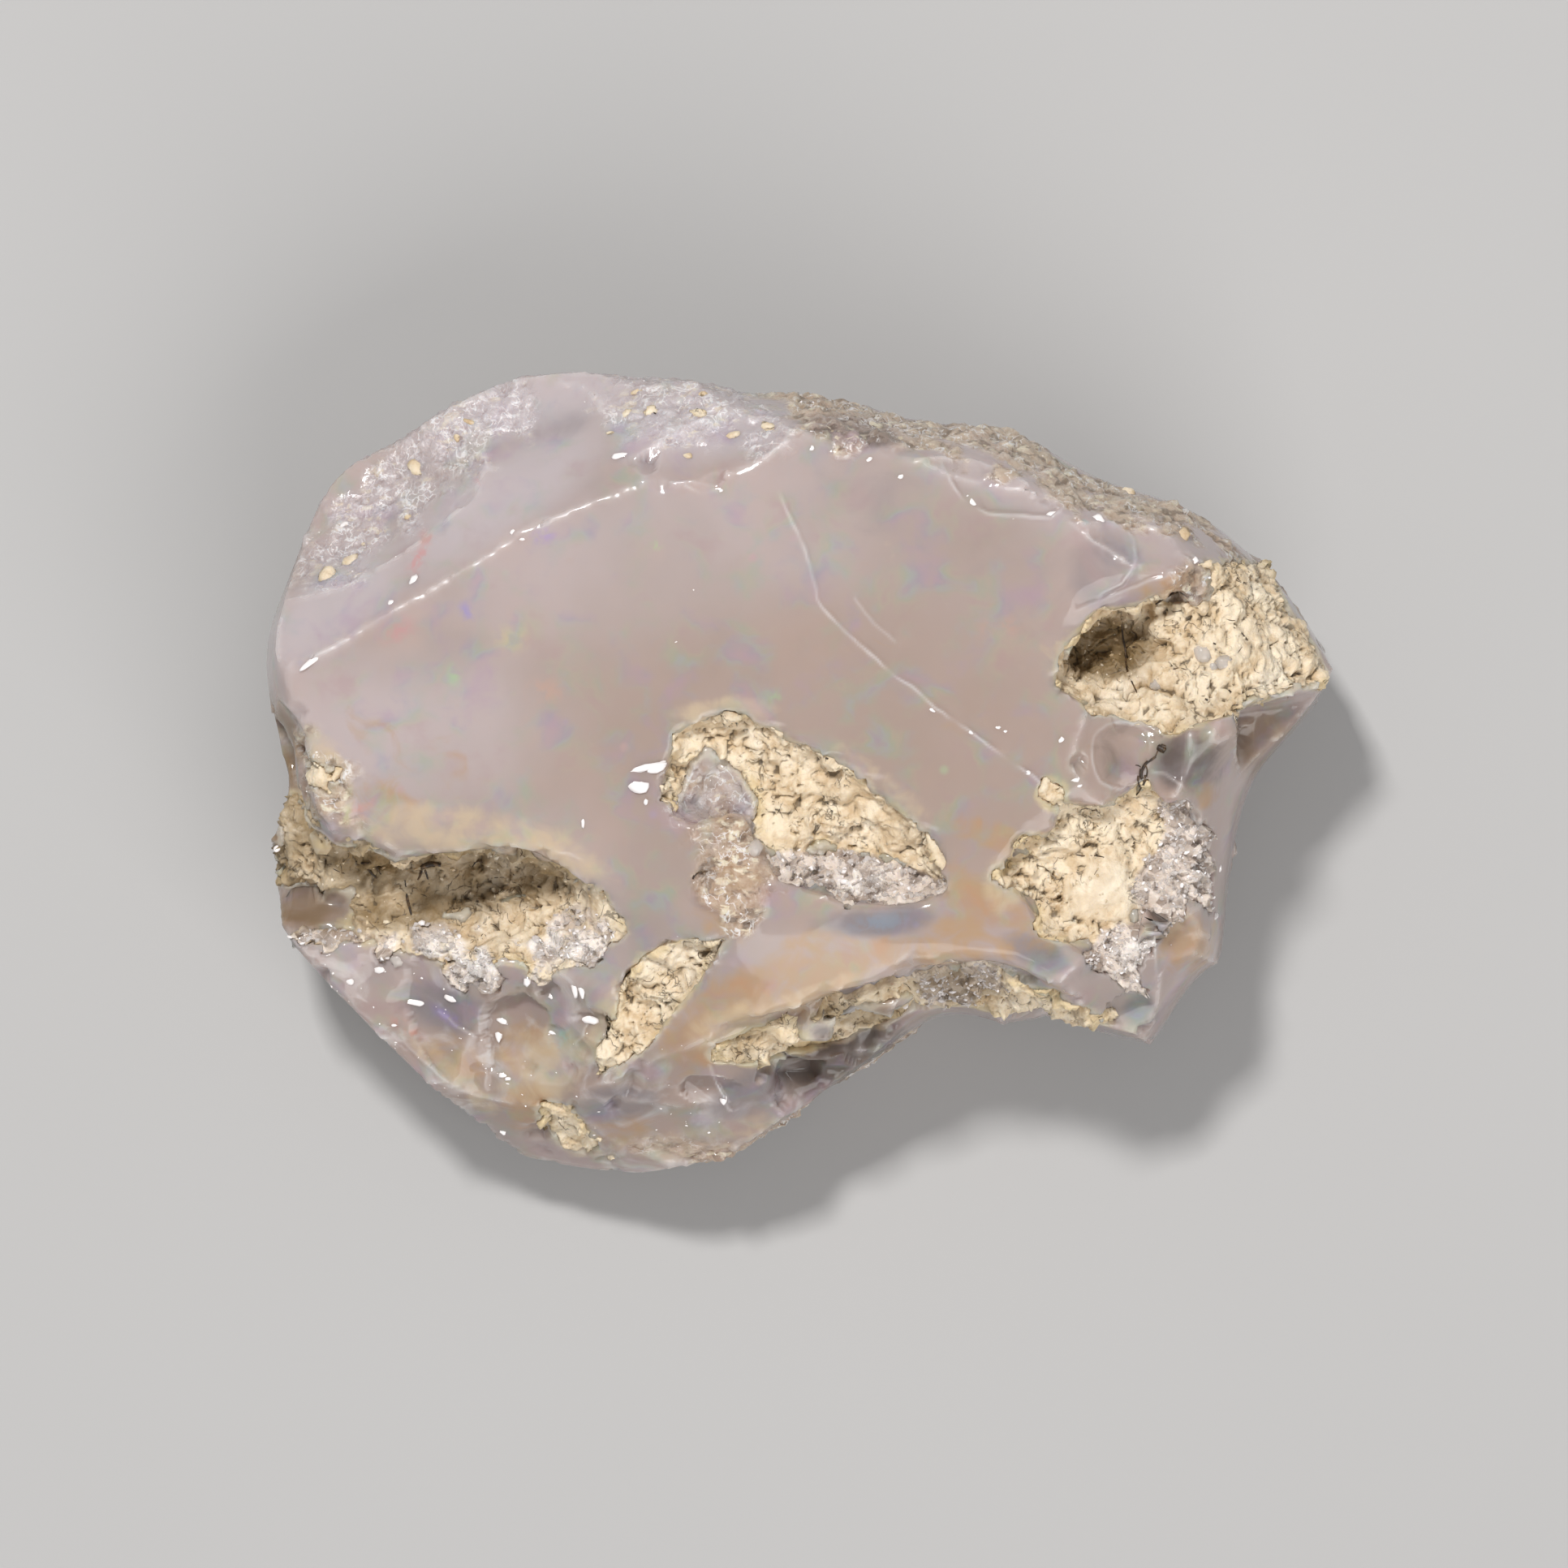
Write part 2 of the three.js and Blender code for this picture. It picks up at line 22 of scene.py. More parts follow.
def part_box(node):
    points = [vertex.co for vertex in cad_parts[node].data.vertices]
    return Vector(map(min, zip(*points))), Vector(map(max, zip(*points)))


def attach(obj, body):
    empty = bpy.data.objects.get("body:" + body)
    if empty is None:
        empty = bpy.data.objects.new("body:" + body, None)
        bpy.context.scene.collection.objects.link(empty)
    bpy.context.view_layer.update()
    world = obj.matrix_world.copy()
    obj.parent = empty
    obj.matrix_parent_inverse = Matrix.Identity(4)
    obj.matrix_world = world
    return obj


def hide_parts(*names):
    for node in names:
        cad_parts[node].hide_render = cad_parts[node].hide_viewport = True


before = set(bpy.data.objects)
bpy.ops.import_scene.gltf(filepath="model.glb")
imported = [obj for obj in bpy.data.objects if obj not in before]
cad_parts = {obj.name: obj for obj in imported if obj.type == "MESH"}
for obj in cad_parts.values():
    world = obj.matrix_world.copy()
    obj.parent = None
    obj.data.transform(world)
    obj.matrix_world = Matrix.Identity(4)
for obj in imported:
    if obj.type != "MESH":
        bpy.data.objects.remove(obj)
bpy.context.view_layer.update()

CAD_NODE = "rough_opal"
BODY = "root"
MM = 0.001
ABOVE = 20.0
DOWN = Vector((0, 0, -1))

Point = tuple[float, float]
Triple = tuple[float, float, float]
Line = Sequence[Point]
Colour = tuple[float, float, float, float]
Array = np.ndarray
Shape = bmesh.types.BMesh
Socket = bpy.types.NodeSocket

log = logging.getLogger("rough_opal")


def colour(red: int, green: int, blue: int) -> Colour:
    """A colour given as it looks on a screen, 0 to 255, as the linear values that a shader takes.

    Args:
        red, green, blue: the screen values.

    Returns:
        Red, green, blue and an alpha of 1.
    """
    shares = [value / 255 for value in (red, green, blue)]
    linear = [s / 12.92 if s <= 0.04045 else ((s + 0.055) / 1.055) ** 2.4 for s in shares]
    return (*linear, 1.0)


def ramp(values: Array, low: float, high: float) -> Array:
    """Rises smoothly from 0 to 1 as the values pass from low to high."""
    share = np.clip((values - low) / (high - low), 0.0, 1.0)
    return share * share * (3 - 2 * share)


def fade(values: Array, low: float, high: float) -> Array:
    """Falls smoothly from 1 to 0 as the values pass from low to high."""
    return ramp(-values, -high, -low)


def bell(values: Array, width: float) -> Array:
    """1 where the values are 0, and less to both sides: the width is how far out the hump goes."""
    return np.exp(-((values / width) ** 2))


def unit(vectors: Array) -> Array:
    """The same directions, all with a length of 1."""
    return vectors / np.maximum(np.linalg.norm(vectors, axis=1, keepdims=True), 1e-12)


def ellipse_distance(points: Array, at: Point, radii: Point, turn: float = 0.0) -> Array:
    """How far out points are in an ellipse, seen from above.

    Args:
        points: where.
        at: its middle.
        radii: its half widths.
        turn: its turn, in degrees.

    Returns:
        0 in its middle, 1 on its rim and more outside.
    """
    c, s = math.cos(math.radians(turn)), math.sin(math.radians(turn))
    x, y = (points[:, :2] - np.array(at)).T
    return np.hypot((c * x + s * y) / radii[0], (-s * x + c * y) / radii[1])


def inside_distance(plan: Array, outline: Line) -> Array:
    """Distance from points to a closed outline, both seen from above.

    Args:
        plan: the points' X and Y.
        outline: the outline's corners.

    Returns:
        The distances, positive inside the outline.
    """
    corners = np.array(outline, float)
    nearest = np.full(len(plan), np.inf)
    inside = np.zeros(len(plan), bool)
    x, y = plan[:, 0], plan[:, 1]
    for a, b in zip(np.roll(corners, 1, axis=0), corners):
        run = b - a
        share = np.clip(((plan - a) @ run) / (run @ run), 0, 1)
        nearest = np.minimum(nearest, np.hypot(x - a[0] - share * run[0], y - a[1] - share * run[1]))
        if run[1] != 0:
            beside = run[0] * (y - a[1]) / run[1] + a[0]
            inside ^= ((a[1] > y) != (b[1] > y)) & (x < beside)
    return np.where(inside, nearest, -nearest)


def side_of_line(plan: Array, line: Line) -> tuple[Array, Array]:
    """Where points lie beside an open line, seen from above.

    Args:
        plan: the points' X and Y.
        line: the line's corners.

    Returns:
        The distances, positive on the line's left, and how far along the line each point is, 0 to 1.
    """
    corners = np.array(line, float)
    lengths = np.hypot(*np.diff(corners, axis=0).T)
    starts = np.concatenate([[0], np.cumsum(lengths)])
    nearest = np.full(len(plan), np.inf)
    signed, along = np.zeros(len(plan)), np.zeros(len(plan))
    for i, (a, b) in enumerate(zip(corners, corners[1:])):
        run = b - a
        share = np.clip(((plan - a) @ run) / (run @ run), 0, 1)
        off = plan - a - share[:, None] * run
        distance = np.hypot(off[:, 0], off[:, 1])
        left = np.sign(run[0] * (plan[:, 1] - a[1]) - run[1] * (plan[:, 0] - a[0]))
        closer = distance < nearest
        nearest = np.where(closer, distance, nearest)
        signed = np.where(closer, left * distance, signed)
        along = np.where(closer, (starts[i] + share * lengths[i]) / starts[-1], along)
    return signed, along


@dataclass(frozen=True)
class Relief:
    """Repeatable noise in space, worked out for many points at once."""

    seed: int = 7
    table_size: int = 1024

    def _draw(self, lattice: Array, salt: int) -> Array:
        """Draws numbers for the points of a lattice.

        Args:
            lattice: the points' whole numbers.
            salt: another number gives other draws.

        Returns:
            Three numbers from -1 to 1 for each.
        """
        table = np.random.default_rng(self.seed + salt).uniform(-1, 1, (self.table_size, 3))
        x, y, z = (lattice[:, axis] * prime for axis, prime in enumerate((73856093, 19349663, 83492791)))
        return table[(x ^ y ^ z) % self.table_size]

    def smooth(self, points: Array, size: float, salt: int = 0) -> Array:
        """Rolling noise from about -1 to 1.

        Args:
            points: where.
            size: how far apart its hills are, in millimetres.
            salt: another number gives another pattern.

        Returns:
            One value for each point.
        """
        place = points / size
        base = np.floor(place).astype(np.int64)
        share = place - base
        ease = share**3 * (share * (share * 6 - 15) + 10)
        total = np.zeros(len(points))
        for corner in itertools.product((0, 1), repeat=3):
            step = np.array(corner)
            weight = np.where(step, ease, 1 - ease).prod(axis=1)
            total += weight * ((share - step) * self._draw(base + step, salt)).sum(axis=1)
        return total * 1.9

    def fractal(self, points: Array, size: float, octaves: int = 3, salt: int = 0) -> Array:
        """Rolling noise with smaller noise on it: size is that of the largest hills."""
        return sum(self.smooth(points, size / 2**n, salt + n) / 2**n for n in range(octaves))

    def billow(self, points: Array, size: float, octaves: int = 3, salt: int = 0) -> Array:
        """Puffy lumps, size apart, with smaller ones on them: 0 in the creases between them."""
        return sum(np.abs(self.smooth(points, size / 2**n, salt + n)) / 2**n for n in range(octaves))

    def cells(self, points: Array, size: float, salt: int = 0) -> tuple[Array, Array, Array]:
        """Splits space into crystals that fit together.

        Args:
            points: where.
            size: the crystals' mean width, in millimetres.
            salt: another number gives another pattern.

        Returns:
            The offset to each point's crystal middle, in crystal widths, how far the point is from the
            nearest joint between crystals, and three numbers from -1 to 1 for its crystal.
        """
        place = points / size
        base = np.floor(place).astype(np.int64)
        nearest, second = np.full(len(points), np.inf), np.full(len(points), np.inf)
        offset, draw = np.zeros((len(points), 3)), np.zeros((len(points), 3))
        for step in itertools.product((-1, 0, 1), repeat=3):
            lattice = base + np.array(step)
            middle = lattice + 0.5 + 0.45 * self._draw(lattice, salt)
            off = place - middle
            distance = np.linalg.norm(off, axis=1)
            closer = distance < nearest
            second = np.where(closer, nearest, np.minimum(second, distance))
            nearest = np.where(closer, distance, nearest)
            offset = np.where(closer[:, None], off, offset)
            draw = np.where(closer[:, None], self._draw(lattice, salt + 50), draw)
        return offset, second - nearest, draw


RELIEF = Relief()


class Ground(Enum):
    """What the surface is made of."""

    OPAL = "opal"
    ROCK = "rock"
    CRUST = "crust"
    GLITTER = "glitter"
    FROST = "frost"


class Tint(Enum):
    """Colours that lie in the opal, with painted light in the pale clouds and painted shade in one dark cloud."""

    TAN = "tan"
    BLUE = "blue"
    HALO = "halo"
    DARK = "dark"
    PALE_AND_LIT = "pale"
    BEIGE = "beige"
    CREAM = "buried"


@dataclass(frozen=True)
class Patch:
    """Ground of one kind inside an outline drawn from above, between two heights."""

    ground: Ground
    outline: Line
    lowest: float = 4.6
    highest: float = 20.0
    edge: float = 0.12
    wander: float = 0.22
    bays: float = 0.9
    floor_swing: float = 1.1
    floor_hills: float = 1.9
    floor_blur: float = 0.3
    roof_blur: float = 0.1

    def share(self, points: Array) -> Array:
        """Finds the ground.

        Args:
            points: where.

        Returns:
            How much of this ground each point has, from 0 to 1.
        """
        inside = inside_distance(points[:, :2], self.outline)
        inside += self.wander * RELIEF.fractal(points, self.bays, 3, salt=20)
        floor = points[:, 2] + self.floor_swing * RELIEF.fractal(points, self.floor_hills, 3, salt=21)
        height = ramp(floor, self.lowest - self.floor_blur, self.lowest + self.floor_blur)
        height *= fade(points[:, 2], self.highest - self.roof_blur, self.highest + self.roof_blur)
        return ramp(inside, -self.edge, self.edge) * height


@dataclass(frozen=True)
class Pocket:
    """Host rock round a hollow that runs in under a lip: an ellipsoid turned by some degrees."""

    at: Triple
    radii: Triple
    turn: float
    full: float = 1.1
    end: float = 1.3

    def share(self, points: Array) -> Array:
        """Finds the rock.

        Args:
            points: where.

        Returns:
            How much of it each point has, from 0 to 1.
        """
        c, s = math.cos(math.radians(self.turn)), math.sin(math.radians(self.turn))
        x, y, z = (points - np.array(self.at)).T
        local = np.stack([c * x + s * y, -s * x + c * y, z], axis=1) / np.array(self.radii)
        return fade(np.linalg.norm(local, axis=1), self.full, self.end)


@dataclass(frozen=True)
class Cloud:
    """A soft patch of colour in the opal: an ellipse seen from above, turned by some degrees."""

    at: Point
    radii: Point
    turn: float = 0.0
    strength: float = 1.0
    full: float = 0.45
    end: float = 1.45

    def share(self, points: Array) -> Array:
        """The patch's strength at each point."""
        return self.strength * fade(ellipse_distance(points, self.at, self.radii, self.turn), self.full, self.end)


@dataclass(frozen=True)
class Flash:
    """A flash of pure colour in the opal: its hue from 0 to 1, and an ellipse seen from above."""

    hue: float
    at: Point
    radii: Point
    turn: float = 0.0
    strength: float = 0.4


@dataclass(frozen=True)
class Crack:
    """A fine ridge with a small step beside it: its line seen from above, how far the ground on the
    line's left lies lower, how far out that fades, and how strong the pale painted highlight along the ridge is."""

    line: Line
    depth: float
    reach: float
    # Strength of the pale painted highlight along the ridge.
    pale: float = 0.5


@dataclass(frozen=True)
class Lens:
    """A small smooth grain set in the surface: its middle seen from above, its two half widths, its
    half height and the turn of its long side."""

    at: Point
    radii: Point
    height: float
    turn: float = 0.0


@dataclass(frozen=True)
class Flake:
    """A shell-shaped scar: where the flake came off, the way that it faces in degrees round from +X
    and down from straight up, the turn of its long axis, its half sizes, and its depth."""

    at: Point
    facing: float
    tilt: float
    radii: Point
    depth: float
    turn: float = 0.0
    reach: float = 1.6
    headroom: float = 0.8

    def cut(self, points: Array, middle: Array) -> Array:
        """Takes the flake off.

        Args:
            points: the surface.
            middle: the point of the surface that the flake's middle was over.

        Returns:
            The surface's points, those inside the flake moved down to its scar.
        """
        turns = (self.facing, "Z"), (self.tilt, "Y"), (self.turn, "Z")
        facing, tilt, turn = (Matrix.Rotation(math.radians(angle), 3, axis) for angle, axis in turns)
        axes = np.array(facing @ tilt @ turn)
        local = (points - middle) @ axes
        u, v, w = local.T
        off = (u / self.radii[0]) ** 2 + (v / self.radii[1]) ** 2
        floor = self.depth * (off - 1)
        bitten = (off < self.reach) & (w > floor) & (w < self.depth + self.headroom)
        local[bitten, 2] = floor[bitten]
        return local @ axes.T + middle


EAST_PIT = (
    (6.4, 2.1), (6.6, 2.8), (7.2, 3.6), (8.0, 4.05), (8.7, 4.2), (9.5, 4.5), (9.9, 5.3), (10.9, 5.25),
    (11.9, 5.2), (12.9, 4.4), (14.4, 3.6), (14.6, 2.4), (13.1, 2.2), (12.2, 1.95), (11.2, 1.65),
    (10.4, 1.3), (9.4, 1.05), (8.4, 1.15), (7.3, 1.65),
)
MIDDLE_HOOK = (
    (-3.4, -0.7), (-3.35, 0.3), (-2.85, 1.15), (-1.9, 1.55), (-0.9, 1.2), (0.5, 0.45), (1.8, -0.45),
    (3.3, -1.6), (3.75, -2.9), (3.3, -2.75), (2.4, -2.3), (1.5, -2.1), (0.5, -1.8), (-0.2, -2.2),
    (-0.9, -1.9), (-1.1, -0.7), (-1.45, 0.0), (-2.05, 0.45), (-2.75, 0.25), (-2.95, -0.7),
)
MIDDLE_FLOOR = (
    (-3.0, -0.9), (-3.0, 0.2), (-1.3, 0.6), (-0.8, -0.8), (-0.6, -2.0), (-1.6, -1.9), (-2.3, -1.3),
)
MIDDLE_SHELF = (
    (-0.9, -2.0), (0.3, -2.1), (1.5, -2.0), (2.5, -2.2), (3.4, -2.6), (3.8, -3.0), (2.7, -3.3), (1.3, -3.4),
    (0.4, -3.0), (-0.5, -2.6),
)
SOUTH_EAST_PIT = (
    (6.1, -0.2), (6.8, -0.75), (7.5, -1.0), (8.35, -0.5), (8.75, -0.3), (9.2, -0.9), (9.5, -1.1), (9.2, -1.9),
    (8.55, -2.6), (8.8, -3.2), (8.3, -3.9), (8.0, -4.4), (7.1, -4.4), (6.2, -4.3), (5.9, -3.9), (5.8, -3.3),
    (5.3, -3.1), (4.95, -2.6), (5.4, -2.2), (5.6, -1.7), (6.3, -1.5), (6.55, -1.15),
)
SOUTH_EAST_GRAINS = (
    (9.0, -0.8), (9.8, -0.8), (10.3, -1.7), (10.5, -3.2), (10.0, -3.5), (9.1, -3.8), (8.9, -4.7), (8.6, -5.4),
    (8.2, -5.5), (7.5, -5.0), (7.0, -4.4), (8.0, -4.2), (8.4, -3.7), (8.5, -2.7), (9.1, -1.9),
)
SLANTING_PIT = (
    (-1.8, -4.2), (-2.9, -4.2), (-3.9, -4.65), (-4.4, -5.4), (-4.7, -6.3), (-5.1, -7.1), (-5.1, -7.7),
    (-4.3, -7.3), (-3.5, -6.5), (-2.9, -5.7), (-2.3, -4.9),
)
GROOVE = (
    (-14.6, 2.3), (-13.4, 1.9), (-12.85, 1.5), (-12.4, 1.05), (-12.45, 0.1), (-12.2, -0.8), (-11.65, -1.55),
    (-11.0, -2.0), (-9.6, -2.1), (-8.3, -2.03), (-7.7, -1.9), (-6.5, -2.05), (-5.8, -2.5), (-5.9, -2.7),
    (-6.5, -3.0), (-7.6, -3.3), (-8.5, -3.5), (-9.2, -3.7), (-9.8, -3.95), (-11.0, -4.0), (-12.4, -4.05),
    (-14.8, -4.0),
)
GROOVE_ROOF_ROCK = (
    (-12.7, -0.6), (-12.3, -0.9), (-12.0, -1.2), (-11.0, -1.95), (-9.6, -2.05), (-8.3, -1.98), (-7.7, -1.85),
    (-6.5, -2.0), (-5.8, -2.45), (-4.9, -3.0), (-5.6, -3.0), (-6.5, -3.1), (-7.6, -3.5), (-8.6, -3.7),
    (-9.4, -3.95), (-10.4, -4.1), (-11.1, -3.9), (-11.5, -3.3), (-12.3, -2.9), (-13.3, -3.0), (-13.5, -2.0),
    (-13.1, -1.1),
)
GROOVE_CRUST = (
    (-12.5, -4.05), (-11.0, -4.0), (-9.8, -3.95), (-9.2, -3.7), (-8.5, -3.45), (-7.6, -3.25), (-7.0, -2.95),
    (-6.5, -2.95), (-6.0, -2.65), (-5.1, -2.95), (-4.4, -3.7), (-4.3, -4.0), (-4.6, -4.3), (-5.0, -4.5),
    (-5.4, -4.9), (-6.0, -5.2), (-6.5, -5.25), (-7.0, -5.0), (-7.5, -5.0), (-7.7, -5.4), (-8.4, -5.3),
    (-9.0, -5.1), (-9.3, -4.8), (-9.8, -4.6), (-10.5, -4.6), (-10.9, -4.8), (-11.7, -4.7), (-12.2, -4.4),
)
GROOVE_GRAINS_WEST = (
    (-12.3, -4.1), (-11.3, -4.05), (-10.9, -4.3), (-10.2, -4.35), (-9.9, -4.7), (-10.7, -5.0), (-12.0, -4.8),
)
GROOVE_GRAINS_MIDDLE = (
    (-9.4, -4.15), (-8.6, -3.8), (-8.0, -4.5), (-7.2, -4.6), (-7.1, -4.9), (-7.4, -5.2), (-7.7, -5.45),
    (-8.1, -5.5), (-8.4, -5.4), (-8.8, -5.2), (-9.3, -4.8),
)
GROOVE_GRAINS_EAST = (
    (-6.5, -4.4), (-6.1, -3.7), (-5.3, -3.5), (-4.9, -4.1), (-4.7, -4.4), (-5.6, -5.05), (-6.4, -5.2),
)
WEST_RIM_ROCK = (
    (-12.35, 0.9), (-11.9, 0.5), (-11.2, 0.05), (-11.3, -0.6), (-11.4, -1.3), (-11.95, -1.2), (-12.3, -0.3),
)
WEST_RIM_SPOT = ((-12.2, 0.25), (-11.8, 0.15), (-11.6, -0.15), (-11.9, -0.3), (-12.2, -0.2))
LEDGE_WEST = (
    (-2.3, -7.35), (-2.0, -6.85), (-1.3, -6.45), (-0.4, -6.3), (0.6, -5.9), (1.7, -5.6), (2.7, -5.2),
    (2.9, -5.6), (2.0, -5.85), (1.3, -6.0), (0.6, -6.35), (0.15, -6.55), (0.0, -6.95), (-0.4, -7.2),
    (-1.1, -7.4), (-1.7, -7.4),
)
LEDGE_EAST = (
    (2.5, -5.2), (3.6, -4.95), (4.8, -4.85), (5.5, -5.1), (6.3, -5.55), (7.1, -6.0), (8.0, -6.2), (7.3, -6.45),
    (6.4, -6.3), (5.6, -6.6), (4.8, -6.6), (3.7, -6.1), (2.9, -5.9),
)
LEDGE_CRYSTALS = ((2.8, -5.1), (3.8, -4.95), (4.9, -4.95), (5.0, -5.45), (4.2, -5.85), (3.3, -5.8), (2.8, -5.4))
LOWER_CRUST = ((-6.4, -8.4), (-5.7, -8.6), (-5.3, -9.1), (-4.6, -9.5), (-5.2, -9.9), (-5.9, -9.6), (-6.2, -9.0))
BEIGE_SPOT = (
    (-2.5, -1.6), (-1.8, -1.0), (-1.4, -1.6), (-0.95, -1.9), (-0.85, -2.75), (-0.95, -3.4), (-1.4, -4.05),
    (-1.75, -4.0), (-2.1, -3.5), (-2.1, -2.75), (-2.55, -2.55),
)
NORTH_EAST_BAND = (
    (-1.1, 9.5), (-0.4, 8.85), (0.0, 8.4), (0.6, 8.15), (1.2, 8.0), (2.7, 7.9), (4.0, 8.0), (4.8, 7.85),
    (5.6, 7.4), (6.6, 6.7), (8.0, 6.4), (8.8, 6.05), (9.9, 5.9), (10.8, 5.3), (11.8, 4.9), (13.0, 4.6),
    (12.0, 8.0), (6.0, 11.0), (-1.0, 11.0),
)
EAST_LIP = ((9.2, 4.3), (9.9, 4.1), (10.3, 4.3), (10.3, 4.9), (9.9, 5.2), (9.5, 4.9))
BEVEL_GRAINS_WEST = (
    (-12.2, 4.9), (-12.2, 5.6), (-11.6, 6.7), (-10.8, 7.6), (-9.9, 8.5), (-8.8, 9.2), (-7.5, 9.8), (-6.8, 9.5),
    (-6.9, 8.6), (-7.5, 8.1), (-8.0, 7.5), (-9.2, 6.9), (-9.7, 6.3), (-10.4, 5.6), (-10.9, 5.2), (-11.8, 4.6),
)
BEVEL_GRAINS_NORTH = (
    (-4.9, 9.3), (-4.6, 9.9), (-2.8, 10.3), (-1.5, 9.7), (-0.1, 8.6), (-0.4, 8.05), (-1.5, 8.3), (-2.8, 8.15),
    (-4.1, 8.4), (-4.9, 8.7),
)
PATCHES = (
    Patch(Ground.CRUST, NORTH_EAST_BAND, lowest=5.6, edge=0.25, wander=0.6),
    Patch(Ground.FROST, BEVEL_GRAINS_WEST, lowest=4.4, edge=0.35, wander=0.5),
    Patch(Ground.FROST, BEVEL_GRAINS_NORTH, lowest=5.0, edge=0.35, wander=0.5),
    Patch(Ground.ROCK, GROOVE_ROOF_ROCK, lowest=4.0, highest=7.9, edge=0.2, wander=0.45),
    Patch(Ground.ROCK, GROOVE_CRUST, wander=0.25),
    Patch(Ground.GLITTER, GROOVE_GRAINS_WEST, wander=0.5),
    Patch(Ground.GLITTER, GROOVE_GRAINS_MIDDLE, edge=0.2, wander=0.6),
    Patch(Ground.GLITTER, GROOVE_GRAINS_EAST, edge=0.2, wander=0.6),
    Patch(Ground.CRUST, WEST_RIM_ROCK, edge=0.3, wander=0.6),
    Patch(Ground.ROCK, WEST_RIM_SPOT, wander=0.4),
    Patch(Ground.ROCK, EAST_PIT),
    Patch(Ground.CRUST, EAST_LIP, lowest=7.0, edge=0.3),
    Patch(Ground.FROST, MIDDLE_FLOOR, edge=0.4, wander=0.5),
    Patch(Ground.ROCK, MIDDLE_HOOK, wander=0.22),
    Patch(Ground.GLITTER, MIDDLE_SHELF, wander=0.3),
    Patch(Ground.ROCK, SOUTH_EAST_PIT, wander=0.3),
    Patch(Ground.GLITTER, SOUTH_EAST_GRAINS, wander=0.35),
    Patch(Ground.ROCK, SLANTING_PIT, edge=0.08, wander=0.12),
    Patch(Ground.ROCK, LEDGE_WEST, lowest=5.6, wander=0.2),
    Patch(Ground.ROCK, LEDGE_EAST, lowest=5.0, wander=0.2),
    Patch(Ground.GLITTER, LEDGE_CRYSTALS, lowest=5.0, wander=0.3),
    Patch(Ground.ROCK, LOWER_CRUST, lowest=2.6, wander=0.45),
    Patch(Ground.CRUST, BEIGE_SPOT, edge=0.25, wander=0.5),
)
POCKETS = (
    Pocket((-9.4, -2.35, 6.2), (2.9, 0.95, 1.1), 0), Pocket((-6.5, -2.9, 6.8), (1.4, 0.8, 0.75), -32),
    Pocket((7.8, 3.3, 7.3), (1.4, 0.95, 1.0), 28), Pocket((1.1, -6.2, 5.9), (1.9, 0.5, 0.8), 20),
)
